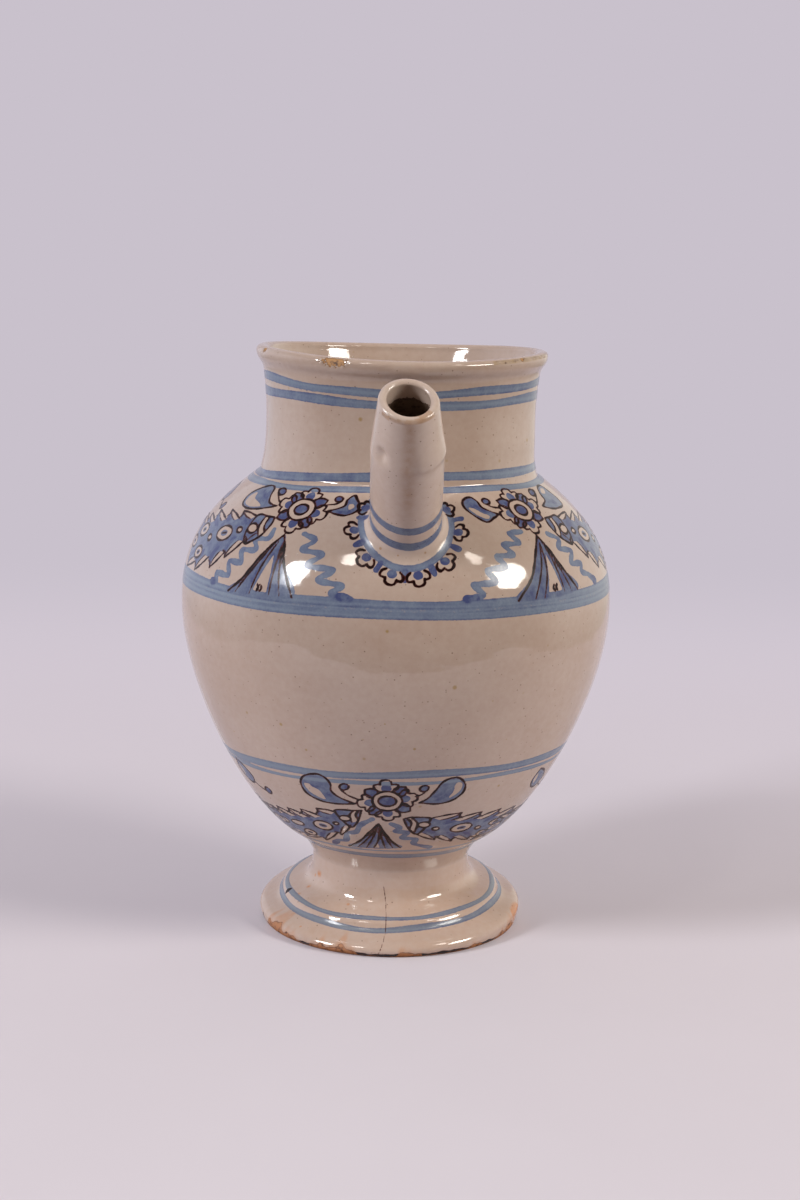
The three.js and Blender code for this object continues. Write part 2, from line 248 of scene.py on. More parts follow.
def piece_from(name, points, faces):
    mesh = bpy.data.meshes.new(name)
    mesh.from_pydata((points * MM).tolist(), [], faces)
    mesh.validate()
    mesh.polygons.foreach_set("use_smooth", np.ones(len(mesh.polygons), bool))
    piece = bpy.data.objects.new(name, mesh)
    bpy.context.scene.collection.objects.link(piece)
    return piece


def values_of(piece, name):
    """The places or normals of a mesh's points."""
    values = np.zeros(len(piece.data.vertices) * 3, np.float32)
    piece.data.vertices.foreach_get(name, values)
    return values.reshape(-1, 3)


def points_of(piece):
    return values_of(piece, "co").astype(float) / MM


def net(rows, columns, closed):
    """The faces of a net whose rows close on themselves. A closed net joins its last row to its first."""
    row, column = np.meshgrid(np.arange(rows if closed else rows - 1), np.arange(columns), indexing="ij")
    low, high = row * columns, (row + 1) % rows * columns
    following = (column + 1) % columns
    faces = np.stack([low + column, low + following, high + following, high + column], -1)
    return faces.reshape(-1, 4).tolist()


def caps(rows, columns):
    """Fans that close an open net's ends, each round a point that follows the net's own."""
    last, middle = (rows - 1) * columns, rows * columns
    sides = [(i, (i + 1) % columns) for i in range(columns)]
    return [[b, a, middle] for a, b in sides] + [[last + a, last + b, middle + 1] for a, b in sides]


def round_jug(turn, radius, height):
    """Points round the jug's axis, at turns in radians."""
    return np.stack([radius * np.sin(turn), -radius * np.cos(turn), height + 0 * turn], -1)


def turned(section, columns):
    """Turns a section round the jug's axis. It closes on itself, or starts and ends on the axis."""
    section = np.array(section, float)
    on_axis = section[0][0] == 0
    rings = section[1:-1] if on_axis else section
    points = round_jug(ring_angles(columns), rings[:, :1], rings[:, 1:]).reshape(-1, 3)
    faces = net(len(rings), columns, closed=not on_axis)
    if on_axis:
        faces += caps(len(rings), columns)
        points = np.concatenate([points, [[0, 0, section[0][1]], [0, 0, section[-1][1]]]])
    return points, faces


def turn_of(points):
    return np.degrees(np.arctan2(points[:, 0], -points[:, 1]))


def radius_of(points):
    return np.hypot(points[..., 0], points[..., 1])


SEAMS, SEAM_REACH = np.array([FOOT_SEAM, BELLY_SEAM, NECK_SEAM]), 0.3


def shade_along_outline(piece):
    """Gives points at a seam the outline's own normals, so that no seam shows between pieces."""
    points, normals = points_of(piece), values_of(piece, "normal")
    height = points[:, 2]
    at_seam = np.abs(points[:, 2:] - SEAMS).min(1) < SEAM_REACH
    outside = at_seam & (np.abs(radius_of(points) - radius_at(height)) < SEAM_REACH)
    across, up = [np.interp(height, OUTLINE[:, 1], OUTWARD[:, i]) for i in range(2)]
    normals[outside] = round_jug(np.radians(turn_of(points)), across, up)[outside]
    piece.data.normals_split_custom_set_from_vertices(normals.tolist())


# Brushwork. A level of one half is the edge of a mark, and levels fall off over a soft margin on each side.

MARGIN = 0.9
LINE_WIDTH, LINE_PRESSURE = 0.86, 1.15
PALE, MIDDLE, DEEP = 0.28, 0.55, 0.93
UNPAINTED_CLIMB = -100.0


def level(depth_inside):
    return np.clip(0.5 + depth_inside / (2 * MARGIN), 0, 1)


def gap_to(x, y, path):
    """The distance from each point to a path, and the share of the path's length where it is nearest."""
    along = walk(path)
    nearest, share = np.full(x.shape, np.inf), np.zeros(x.shape)
    for (ax, ay), (bx, by), start in zip(path[:-1], path[1:], along[:-1]):
        length = max(np.hypot(bx - ax, by - ay), 1e-9)
        t = np.clip(((x - ax) * (bx - ax) + (y - ay) * (by - ay)) / length**2, 0, 1)
        gap = np.hypot(x - ax - t * (bx - ax), y - ay - t * (by - ay))
        closer = gap < nearest
        nearest[closer] = gap[closer]
        share[closer] = (start + t[closer] * length) / along[-1]
    return nearest, share


def within(x, y, outline):
    hit = np.zeros(x.shape, bool)
    for (ax, ay), (bx, by) in zip(outline, np.roll(outline, -1, 0)):
        if ay != by:
            hit ^= ((ay > y) != (by > y)) & (x < (bx - ax) * (y - ay) / (by - ay) + ax)
    return hit


class Painted:
    """The paint on one piece: levels of blue, line, bare clay and brown tint, and how deep the blue is."""

    def __init__(self, turn, climb, girth):
        self.turn, self.climb, self.girth = turn, climb, girth
        self.blue, self.line, self.bare, self.tint = (np.zeros(len(turn)) for _ in range(4))
        self.depth = np.full(len(turn), MIDDLE)

    def patch(self, turn, climb, side=1, width=75, height=45):
        """The flat stretch round a place: y runs up the outline, x to the right for side 1, left for -1."""
        x = np.radians(wrapped(self.turn - turn)) * self.girth * side
        y = self.climb - climb
        pick = np.flatnonzero((np.abs(x) < width) & (np.abs(y) < height))
        return Patch(self, pick, x[pick], y[pick])

    def band(self, low, high, depth, lift=0.0, tilt=0.0, phase=0.0, cover=1.0, sway=0.3, waves=3):
        """A stripe round the jug between two heights at its front, drawn by a swaying hand.

        It lifts at both sides, and tilts up to the right.
        """
        low, high = climb_at(low), climb_at(high)
        turn = np.radians(self.turn)
        drift = sway * (np.sin(waves * turn + phase) + 0.5 * np.sin((2 * waves + 1) * turn + 2 * phase))
        drift += lift * np.sin(turn) ** 2 + tilt * np.sin(turn)
        swell = sway * np.sin((waves + 4) * turn + 3 * phase)
        inside = np.minimum(self.climb - low - drift, high + drift + swell - self.climb)
        across = (self.climb - low - drift) / (high - low)
        streaks = 0.12 * np.cos(2 * np.pi * across) + 0.1 * np.sin(11 * across + 2 * turn + phase)
        self.lay_blue(slice(None), cover * level(inside), depth + streaks + 0.12 * np.sin(2 * turn + phase))

    def lay_blue(self, pick, mark, depth):
        share = np.where(mark > self.blue[pick], 1, eased((mark - 0.3) / 0.4))
        self.depth[pick] += share * (depth - self.depth[pick])
        self.blue[pick] = np.maximum(self.blue[pick], mark)

    def store(self, piece):
        for name in ("blue", "depth", "line", "bare", "tint"):
            layer = piece.data.attributes.new("paint_" + name, "FLOAT", "POINT")
            layer.data.foreach_set("value", getattr(self, name).astype(np.float32))


class Patch:
    """A flat stretch of a painted piece, in millimetres from its middle."""

    def __init__(self, painted, pick, x, y):
        self.painted, self.pick, self.x, self.y = painted, pick, x, y

    def close_to(self, path, reach):
        low, high = path.min(0) - reach, path.max(0) + reach
        near = (self.x > low[0]) & (self.x < high[0]) & (self.y > low[1]) & (self.y < high[1])
        return self.pick[near], self.x[near], self.y[near]

    def mark(self, path, width, taper):
        """The level of a brush mark along a path. Its width breathes a little and its ends taper."""
        pick, x, y = self.close_to(path, width + 2 * MARGIN)
        if not len(pick):
            return pick, np.zeros(0)
        gap, share = gap_to(x, y, path)
        breath = 1 + 0.16 * np.sin(share * walk(path)[-1] * 0.9 + path[0, 0] + 2 * path[0, 1])
        pointed = 1 - taper * np.abs(2 * share - 1) ** 3
        return pick, level(0.5 * width * breath * pointed - gap)

    def draw(self, points, width=LINE_WIDTH, taper=0.35, closed=False):
        """A dark outline through points."""
        pick, mark = self.mark(flowing(points, closed), LINE_PRESSURE * width, 0 if closed else taper)
        self.painted.line[pick] = np.maximum(self.painted.line[pick], mark)

    def brush(self, points, width, depth, taper=0.1):
        """A blue brush stroke through points."""
        pick, mark = self.mark(flowing(points), width, taper)
        self.painted.lay_blue(pick, mark, depth)

    def area(self, points, sharp=False):
        """The points near an outline, how far each is above the outline's middle, and its level."""
        outline = np.array(points, float) if sharp else flowing(points, closed=True)
        pick, x, y = self.close_to(outline, 2 * MARGIN)
        gap, _ = gap_to(x, y, np.concatenate([outline, outline[:1]]))
        return pick, y - outline[:, 1].mean(), level(np.where(within(x, y, outline), gap, -gap))

    def wash(self, points, depth=MIDDLE, fade=0.0, sharp=False):
        """A blue wash inside an outline. The fade is how much deeper it gets per millimetre up."""
        pick, up, mark = self.area(points, sharp)
        self.painted.lay_blue(pick, mark, depth + fade * up)

    def spare(self, points, sharp=False):
        """Leaves the glaze white inside an outline."""
        pick, _, mark = self.area(points, sharp)
        self.painted.blue[pick] = np.minimum(self.painted.blue[pick], 1 - mark)
        return pick, mark

    def wipe(self, points):
        """Takes off blue and line inside an outline, for what is painted over them."""
        pick, mark = self.spare(points)
        self.painted.line[pick] = np.minimum(self.painted.line[pick], 1 - mark)


def petal_place(middle, angle):
    """Turns places along and across a petal into places on the patch."""
    angle = np.radians(angle)
    out = np.array([np.cos(angle), np.sin(angle)])
    side = np.array([-out[1], out[0]])
    return lambda points: [np.array(middle) + u * out + v * side for u, v in points]


def oval(middle, across, up, tilt=0):
    turn = ring_angles(12)
    return petal_place(middle, tilt)(zip(across * np.cos(turn), up * np.sin(turn)))


# Motifs. Each is given by the points where the hand turns, in millimetres from the rosette's middle.

def scallop(patch, place, root, reach, half, width=LINE_WIDTH):
    """The outline of a petal with three lobes."""
    waist = root + 0.56 * (reach - root)
    belly = root + 0.22 * (reach - root)
    for side in (-1, 1):
        lobe = [(root, 0.62), (belly, 0.98), (waist, 1), (waist + 0.3, 0.48)]
        patch.draw(place([(u, side * v * half) for u, v in lobe]), width, taper=0.2)
    end = [(waist, 0.5), (reach - 0.7, 0.42), (reach, 0), (reach - 0.7, -0.42), (waist, -0.5)]
    patch.draw(place([(u, v * half) for u, v in end]), width, taper=0.2)


def rosette(patch, middle=(0, 0), core=(2.5, 2.1), tilt=8):
    """A ringed flower: four scalloped white petals, with four pointed blue petals between them."""
    patch.wipe(oval(middle, 9, 8.5))
    for quarter, lean in enumerate((5, -4, 3, -6)):
        white = petal_place(middle, 90 * quarter + tilt + lean)
        scallop(patch, white, 5.3, 11.6 - 0.5 * (quarter % 2), 4.4)
        patch.wash(white([(5.6, -1.6), (7.6, -1.7), (8.9, 0), (7.6, 1.7), (5.6, 1.6)]), DEEP)
        blue = petal_place(middle, 90 * quarter + 45 + tilt - lean)
        pointed = [(4.9, -1.5), (6.6, -2.5), (8.6, -1.9), (10.3, 0), (8.6, 1.9), (6.6, 2.5), (4.9, 1.5)]
        patch.wash(blue(pointed), DEEP)
        patch.draw(blue(pointed[:4]), taper=0.2)
        patch.draw(blue(pointed[3:]), taper=0.2)
    ring = oval(middle, 5.6, 5.2)
    patch.wipe(ring)
    patch.draw(ring, width=0.92, closed=True)
    patch.wash(oval(middle, core[0] + 0.1, core[1] + 0.1), DEEP)
    patch.draw(oval(middle, core[0] + 0.4, core[1] + 0.4), width=0.92, closed=True)


def leaf(patch, outline, white, streaks, depth=MIDDLE):
    """A curled leaf: an outline, a blue wash, a stretch that stays white and deeper brush streaks."""
    patch.wash(outline, depth)
    patch.spare(white)
    for streak in streaks:
        patch.brush(streak, 1.8, DEEP - 0.1, taper=0.7)
    patch.draw(outline + outline[:1], width=0.9, taper=0.15)


def bud(patch, stem, middle, size=1.9):
    patch.draw(stem, width=0.85)
    patch.wash(oval(middle, size, 0.8 * size, 30), DEEP)
    patch.draw(oval(middle, size + 0.1, 0.8 * size + 0.1, 30), width=0.8, closed=True)


def ribbon(patch, turns, width=2.3):
    """A wavy ribbon through the places where the brush turns. Paint pools at each turn and at its end."""
    patch.brush(turns, width, PALE + 0.08, taper=0.05)
    path = flowing(turns)
    for place in range(FLOW_STEPS, len(path) - FLOW_STEPS, FLOW_STEPS):
        patch.brush(path[place - 2:place + 3:2], 0.85 * width, MIDDLE - 0.05, taper=0.5)
    patch.brush(path[-5:], width + 0.6, DEEP - 0.15)


def drape(patch, apex, hems, folds, white, depth=MIDDLE):
    """A hanging fan of cloth: a blue wash between two hems, dark shaded folds and a white pleat."""
    left, right = hems
    patch.wash([apex] + left + right[::-1], depth, fade=0.008)
    for fold in folds:
        patch.brush([(x + 0.048 * (apex[1] - y), y) for x, y in fold], 1.5, DEEP - 0.15, taper=0.6)
    patch.spare(white, sharp=True)
    for fold in folds:
        patch.draw(fold, width=0.82, taper=0.5)
    for hem in hems:
        patch.draw([apex] + hem, width=1.08, taper=0.3)


def pleat_marks(patch, x, y):
    for shift in (-0.9, 0.7):
        patch.draw([(x + shift + 0.3, y + 1.3), (x + shift - 0.4, y), (x + shift + 0.3, y - 1.3)], width=1)


def spot(patch, middle, across, up, tilt=0):
    """A white spot with a dark outline."""
    patch.wipe(oval(middle, across, up, tilt))
    patch.draw(oval(middle, across, up, tilt), width=0.85, closed=True)


def seed(patch, middle, across, up, tilt=0):
    """A white spot with a blue pupil and a dark dash in it."""
    spot(patch, middle, across, up, tilt)
    patch.wash(oval(middle, 0.45 * across, 0.42 * up, tilt), MIDDLE)
    patch.draw(petal_place(middle, tilt)([(-0.32 * across, 0), (0.32 * across, 0)]), width=0.9)


def blade(patch, base, tip, above):
    """A pointed leaf above (1) or below (-1) a garland: white under its dark rib, with a hooked end."""
    base, tip = np.array(base, float), np.array(tip, float)
    along = tip - base
    away = np.array([-along[1], along[0]]) / np.linalg.norm(along)
    away *= above * np.sign(away[1])

    def at(share, out):
        return base + share * along + out * away

    patch.brush([at(0.92, -1.6), at(0.75, -3.6), at(0.3, -4.6)], 2.1, DEEP + 0.2, taper=0.6)
    patch.spare([tip, at(0.5, 0.3), base, at(0.2, -1.9), at(0.6, -1.6)], sharp=True)
    patch.draw([at(-0.04, 0), at(0.5, 0.4), tip], width=0.85, taper=0.25)
    patch.draw([tip, at(0.9, -1.5), at(0.98, -3.4)], width=0.85, taper=0.3)
    patch.draw([at(0.94, -0.6), at(0.6, -1.7), at(0.2, -2.1)], width=0.65, taper=0.6)


def knot(patch, outline, bands):
    """The tied end of a garland, with a white tape between two dark bands."""
    patch.wash(outline, MIDDLE + 0.1)
    first, second = bands
    patch.spare(first + second[::-1])
    for line in (first, second, outline + outline[:1]):
        patch.draw(line, width=0.95, taper=0.2)


def garland(patch, tied, upper, lower, seeds, spots):
    """A leafy garland: a blue body with pointed leaves on both edges, seeds, spots and a tied end."""
    edges = [[place for pair in pairs for place in pair] for pairs in (upper, lower)]
    patch.wash(edges[0] + edges[1][::-1], MIDDLE + 0.05, fade=0.01, sharp=True)
    for above, pairs in ((1, upper), (-1, lower)):
        for base, tip in pairs:
            blade(patch, base, tip, above)
    knot(patch, *tied)
    for one in seeds:
        seed(patch, *one)
    for one in spots:
        spot(patch, *one)


def sprig(patch):
    """A small drop-shaped leaf with a bud on a stalk, above the middle of a garland."""
    outline = [(-3.4, 5.4), (-5.2, 0.4), (-2.4, -4), (2.6, -5), (5.4, -1.4), (2, 3)]
    leaf(patch, outline, [(-3.2, 3), (-4, 0), (-2, -2.4), (-1.4, 0)], [[(0.5, 2), (2.6, -1), (2, -3.4)]])
    bud(patch, [(4, -4), (7.6, -6), (10.6, -7)], (12.2, -6.2))


# Where the motifs sit: turn and climb, which way it faces, and if it has the narrow side's leaves

SHOULDER_MOTIFS = ((-36.2, 209.2, -1, True), (42.05, 209.6, 1, False),
                   (-141, 209.4, 1, True), (141, 209.4, -1, False))
SHOULDER_SPRIGS = ((-88.6, 209), (91.5, 209))
LOWER_ROSETTES = (-3.7, 116.3, -126)
LOWER_CLIMB = 91.3
LOWER_SPRIG_TURN, LOWER_SPRIG_CLIMB = 61.5, 93
SPOUT_COLLAR = (-0.4, 204.5)


def shoulder_motif(patch, narrow):
    """Rosette, leaves, drape, ribbons and the half garland that runs away from the spout."""
    garland(patch,
            tied=([(9.9, -5.2), (13.4, -5.2), (18.2, -5), (20.2, -8), (21, -14.5), (18.7, -18), (12.6, -14),
                   (9.9, -8.8)],
                  ([(12.4, -5.4), (12.8, -9.5), (11.4, -12)], [(14.6, -5.4), (15.4, -10.4), (13.6, -14)])),
            upper=[((19.6, -6), (29.3, -5)), ((29.5, -8.6), (38.8, -6)), ((39, -10.6), (50.4, -8)),
                   ((49.7, -13), (60.1, -11.2)), ((59.4, -15), (69, -13))],
            lower=[((12.6, -14), (18.7, -18)), ((20.2, -17.2), (28.6, -25.2)), ((29.2, -23), (37.4, -30.4)),
                   ((40.2, -26.8), (51.4, -33.6)), ((53, -30.4), (65, -34))],
            seeds=[((34.9, -16), 5.4, 3.1, -12), ((56.1, -18), 5, 2.6, -10), ((52.4, -26.6), 4.2, 2.3, -14),
                   ((64.5, -24), 4.6, 2.4)],
            spots=[((18.4, -11.4), 2.5, 2.1), ((25.4, -13.2), 1.6, 1.2), ((45.6, -19.6), 1.7, 1.3)])
    bud(patch, [(11, 1.5), (13, 3), (16.5, 7.5), (16.3, 8.6)], (14, 7.2))
    if narrow:
        narrow_side(patch)
    else:
        wide_side(patch)
    rosette(patch)


def narrow_side(patch):
    """Leaves, drape and ribbons where the spout leaves less room."""
    leaf(patch,
         [(12.1, 0), (19.7, -2.4), (27, -3.6), (33.3, -2.4), (33.8, 2), (29.4, 6), (23, 9), (19.7, 8.2),
          (18.9, 4.4), (17, 1)],
         [(21, -1.4), (27, -2.6), (32.2, -1.4), (32, 2.2), (28.4, 4.4), (27.4, 1.6), (23, 0)],
         [[(21, 7.4), (20.6, 4), (19, 0.6)], [(25, 6.6), (22.4, 4), (20.4, 0.4)]], MIDDLE - 0.05)
    leaf(patch,
         [(-11, 0.5), (-15, -0.8), (-19, -1), (-22, 1.5), (-21.5, 4.5), (-19.5, 7), (-17.5, 9), (-16, 6.5),
          (-16.3, 3.5), (-13.5, 1.5)],
         [(-18.8, 1.8), (-17.6, 4.2), (-19.2, 4.6), (-20.2, 3)], [[(-13, 0.6), (-17, 0.2), (-20, 1)]],
         MIDDLE + 0.1)
    bud(patch, [(-9.5, 3.5), (-12.5, 4), (-14.2, 5.6)], (-12.6, 6.6), 1.5)
    drape(patch, (1.6, -12),
          ([(7.5, -20), (14.5, -30.5), (21.9, -36.8)], [(-0.4, -16), (-2.7, -23), (-9.1, -35.4)]),
          [[(3, -14), (10, -26), (18, -36.8)], [(2.6, -15), (7, -26), (10.4, -36.4)],
           [(0.6, -14), (0.6, -25), (1, -35.6)], [(0.2, -15), (-1.4, -25), (-3.6, -35.4)]],
          [(2.6, -20), (5.6, -27.4), (8.8, -34.6), (2.2, -34.8), (1.8, -27)])
    pleat_marks(patch, 6, -33.4)
    ribbon(patch, [(7.2, -10.4), (8.1, -14.4), (14.1, -15.4), (12, -19.6), (19.1, -20.8), (17.5, -25.4),
                   (24.5, -26), (23.2, -31), (30.9, -31.2), (30.3, -34.2), (33, -34.8)])
    ribbon(patch, [(-6.6, -10.6), (-12, -13), (-8.6, -17), (-17, -18.5), (-12.6, -23), (-23, -24),
                   (-18, -28), (-27.5, -29.6), (-24, -32.5), (-31.5, -34.2)])


def wide_side(patch):
    """Leaves, drape and ribbons where there is more room beside the spout."""
    leaf(patch,
         [(14, 0), (20, -2), (27, -2.5), (32, -2), (32.5, 1), (30, 5), (26.5, 9), (22, 9), (19.5, 6),
          (19, 2.5), (16, 1)],
         [(21, 6), (23.5, 8), (26, 7.2), (24, 5.2)], [[(20, 1), (24, 1), (28, -0.4)]], MIDDLE - 0.15)
    leaf(patch,
         [(-12, -1), (-15.3, -2.5), (-19.4, -4.2), (-22.7, -1), (-24.3, 3), (-22.9, 6.5), (-19, 8.2),
          (-17.3, 6), (-17.3, 3), (-14.9, 0.8)],
         [(-18.4, -2.8), (-21.6, -0.5), (-22.9, 3), (-20.6, 2.4), (-19, 0.4), (-16.6, -1.4)],
         [[(-14, -1), (-17, 0.6), (-19.4, 4)]], MIDDLE + 0.1)
    bud(patch, [(-9.5, 2), (-12.4, 2.6), (-14.4, 4)], (-13.6, 5.6), 1.6)
    drape(patch, (-0.5, -12),
          ([(-5.6, -19.5), (-11, -28), (-19, -36)], [(2, -17), (6.5, -26), (13.5, -35)]),
          [[(-1, -15), (-5, -25), (-11, -36)], [(-0.8, -15), (-2.5, -26), (-6.5, -36.3)],
           [(0.2, -14), (3, -26), (5, -35)], [(0.6, -14), (4.5, -25), (9.5, -35.2)]],
          [(-0.4, -19.6), (-3.8, -34.2), (3.8, -34.2), (1.6, -27)], MIDDLE + 0.18)
    pleat_marks(patch, 0.2, -32.8)
    ribbon(patch, [(-7, -9.5), (-13, -10), (-11, -14), (-18, -14.5), (-16, -18.5), (-23, -19), (-21, -23),
                   (-29, -24), (-27, -28.5), (-36, -29), (-33, -32.8), (-40, -34.2)])
    ribbon(patch, [(6, -12), (11, -15), (8.5, -18.5), (16, -20.5), (13, -25), (20, -26), (19, -29),
                   (24, -31), (29.4, -34.2)])


def lower_motif(patch):
    """The same flower lower down, with a garland to each side."""
    ribbon(patch, [(-6.7, -10.8), (-11.1, -14.8), (-12.9, -19.6), (-16.5, -21.6), (-17.1, -26.8),
                   (-20.4, -28), (-22, -31)], 2.5)
    ribbon(patch, [(0.5, -13.2), (3.8, -15.6), (2.2, -18), (6.8, -18.8), (5, -22.4), (10, -23.6),
                   (9.4, -27.2), (15.5, -31)], 2.4)
    garland(patch,
            tied=([(-10.8, -6), (-14.2, -6.4), (-21.1, -7.2), (-19.9, -10.8), (-16.8, -15), (-14.3, -16.8),
                   (-12, -12)],
                  ([(-12, -6.4), (-13, -9), (-12.2, -12)], [(-14, -6.6), (-15.4, -9.4), (-14.6, -13.6)])),
            upper=[((-21.1, -8.4), (-29.4, -8)), ((-27.5, -12.6), (-36.8, -10.4)),
                   ((-33.2, -14.4), (-43.8, -11.8)), ((-39.7, -15.8), (-50.9, -13.4)),
                   ((-46.8, -16.6), (-59.2, -15)), ((-55, -18), (-67, -16))],
            lower=[((-15, -15.6), (-18.9, -23.2)), ((-20.6, -22), (-26, -30)), ((-28, -28), (-36, -31)),
                   ((-38, -28.6), (-48, -31)), ((-51, -28), (-62, -30.6))],
            seeds=[((-26.8, -18.4), 4.3, 2.9, -8), ((-33.4, -26), 3.2, 2.2, -8), ((-49, -22.5), 4, 2),
                   ((-60, -23), 3.6, 2)],
            spots=[((-17.3, -11.6), 2.3, 1.6), ((-39.6, -20.8), 3.6, 1.7), ((-21, -15.6), 1.1, 0.9)])
    garland(patch,
            tied=([(5.2, -10), (8.6, -9.2), (15.3, -10), (14.4, -14), (12, -18.6), (9.8, -20), (6.9, -15.6)],
                  ([(6.4, -9.6), (8.2, -12.6), (7.6, -16.4)], [(8.4, -9.4), (10.6, -13), (9.6, -18.4)])),
            upper=[((16.4, -10), (28.5, -8.4)), ((24.6, -12.2), (37.8, -9.6)),
                   ((34.6, -13.4), (47.8, -10.6)), ((44.8, -14.6), (58, -12.4)), ((54, -16.4), (67, -14.6))],
            lower=[((9.7, -19.6), (17.7, -25.2)), ((17.7, -22.2), (24.8, -28)),
                   ((25.6, -24.4), (32.8, -29.4)), ((34, -27), (44, -31)), ((46, -28), (58, -30.6))],
            seeds=[((28.8, -18.2), 4.8, 2.7, 8), ((39.8, -25.8), 3, 2.2), ((47.2, -19.4), 4.6, 2.1),
                   ((58, -22.6), 3.8, 2)],
            spots=[((13.2, -14), 2.3, 1.7), ((17.8, -17), 1.4, 1.1), ((36.8, -20.4), 1.5, 1.2)])
    leaf(patch,
         [(-13, -2.5), (-20, -3.5), (-27, -3), (-33, 0), (-35.5, 5), (-34, 9), (-29, 11), (-25.5, 10),
          (-23, 7), (-22.5, 3), (-19, 0)],
         [(-25, -2), (-31.5, 1), (-34, 5), (-31.5, 5.2), (-27.5, 2.6)],
         [[(-33, 8), (-29, 9.4), (-25, 8)], [(-31, 4.6), (-27, 3.6), (-22.6, 0.4)]])
    bud(patch, [(-12, 0), (-16, 1.8), (-19, 4.5)], (-17.5, 6), 1.8)
    leaf(patch,
         [(11, -1), (18, -2), (24, -0.5), (28, 3), (29, 7), (27, 10.5), (24, 11.3), (20, 9.5), (17, 5),
          (14, 1)],
         [(22.6, 0.8), (27, 4.4), (27.6, 8), (25.4, 8.6), (24, 4.8)],
         [[(21, 8.6), (20.4, 5), (17, 1.4)], [(24.6, 6), (21.6, 2.4), (17.6, 0)]])
    bud(patch, [(9.5, 2.5), (11.5, 3.2), (13.2, 4.6)], (12.8, 6.5), 1.7)
    drape(patch, (-4.3, -13.4),
          ([(-7.6, -19), (-11.4, -26), (-15.9, -32)], [(-2, -19), (0.8, -25), (4.2, -30.6)]),
          [[(-4.9, -15), (-8, -23), (-12.5, -32)], [(-4.6, -15), (-6.4, -23), (-9, -31.8)],
           [(-4.2, -16), (-4.2, -24), (-6, -31.2)], [(-3.9, -15), (-3, -23), (-1.6, -31.4)],
           [(-3.7, -15), (-1.6, -22), (1.4, -31)]],
          [(-4.9, -27), (-6, -31), (-3.8, -31), (-4.2, -28)])
    rosette(patch, (-1, -0.2), core=(3, 2.3))


# The spout's collar: angles of petals, reaches of the ring, and where petals, hearts and dashes lie
COLLAR_PETALS = (153, 188, 223, 254.5, 281, 313, 351, 386)
COLLAR_RING, COLLAR_STRETCH = (16, 18.4), 1.03
PETAL_ROOT, PETAL_REACH, PETAL_HALF, PETAL_HEART = 17.8, 23, 3.3, 19.2
COLLAR_DASH = (17.4, 20.6)


def paint_collar(paint):
    """Round the spout's root: a blue ring, wider below than beside it, and a scalloped edging.

    The edging has lobed petals with a blue heart, and a dash between each two.
    """
    turn, climb = SPOUT_COLLAR
    x = np.radians(paint.turn - turn) * paint.girth
    y = paint.climb - climb
    inner, outer = COLLAR_RING
    reach = np.hypot(COLLAR_STRETCH * x, np.where(y < 0, y / COLLAR_STRETCH, y))
    paint.lay_blue(slice(None), level(np.minimum(reach - inner, outer - reach)), PALE + 0.1)
    patch = paint.patch(turn, climb)
    for angle, following in zip(COLLAR_PETALS, COLLAR_PETALS[1:] + (None,)):
        rise = np.sin(np.radians(angle))
        below, above = max(0, -rise), max(0, rise)
        stretch = 1 + 0.07 * below - 0.3 * above
        place = petal_place((0, 0), angle)
        scallop(patch, place, PETAL_ROOT * stretch, PETAL_REACH * stretch, PETAL_HALF + 0.8 * below, 1)
        patch.wash(oval(place([(PETAL_HEART * stretch, 0)])[0], 1.8, 1.6), DEEP)
        if following:
            dash = petal_place((0, 0), (angle + following) / 2)
            patch.brush(dash([(end * stretch, 0) for end in COLLAR_DASH]), 2.3, DEEP - 0.1)


# Stripes round the jug: lower and upper height, how deep, how far the sides lift and how far the right is up
BANDS = (
    (7.7, 9.6, PALE - 0.1, 0, 0), (11.5, 12.5, PALE - 0.12, 0, 0),
    (35.1, 37.7, PALE - 0.2, 0, 0), (39.8, 40.8, PALE - 0.28, 0, 0),
    (73.8, 75.4, PALE - 0.24, -1.8, 1.65), (76.4, 79.5, PALE - 0.14, -1.8, 1.65),
    (181.2, 183.1, PALE - 0.06, -1.6, 1.2), (185.3, 188.7, PALE + 0.08, -2.3, 2.1),
    (211.8, 215.1, PALE + 0.06, 0.7, 0), (216.2, 219.2, PALE + 0.04, 1.4, 0),
)
# The belly's thin wash and the two stripes over it: lower and upper height, how deep, and how well it covers
BELLY_BANDS = ((139.6, 145.5, PALE - 0.25, 0.56), (139.1, 142, PALE - 0.06, 1), (143, 146, PALE, 1))


def paint_bands(paint):
    for low, high, depth, cover in BELLY_BANDS:
        paint.band(low, high, depth, phase=7.8, cover=cover)
    for place, band in enumerate(BANDS):
        paint.band(*band, phase=1.3 * place)


# Pieces of the body

def foot_section():
    inner_edge = (STANDING_RADIUS - STANDING_WIDTH, 0)
    crown = (FOOT_HOLLOW_TOP_RADIUS, FOOT_HOLLOW_DEPTH)
    hollow = bezier([inner_edge, (inner_edge[0], FOOT_HOLLOW_DEPTH), crown], 14)[::-1]
    outside = rows_between((0, FOOT_SEAM), (FOOT_STEP,))
    return np.concatenate([[(0, FOOT_HOLLOW_DEPTH)], hollow, outside, [(0, FOOT_SEAM)]])


def bowl_section():
    outside = rows_between((FOOT_SEAM, BOWL_PAINT_TOP, BELLY_SEAM), (BOWL_STEP, PLAIN_BOWL_STEP))
    inside = wall_inside(BOWL_TURN[1], BELLY_SEAM, INSIDE_STEP)
    inside[0] = (BELLY_RADIUS - WALL, BELLY_SEAM)
    floor_height = BOWL_BASE + BOWL_FLOOR
    floor = bezier([inside[-1], (inside[-1][0] / 2, floor_height), (0, floor_height)], 8)
    return np.concatenate([[(0, FOOT_SEAM)], outside, inside, floor[1:]])


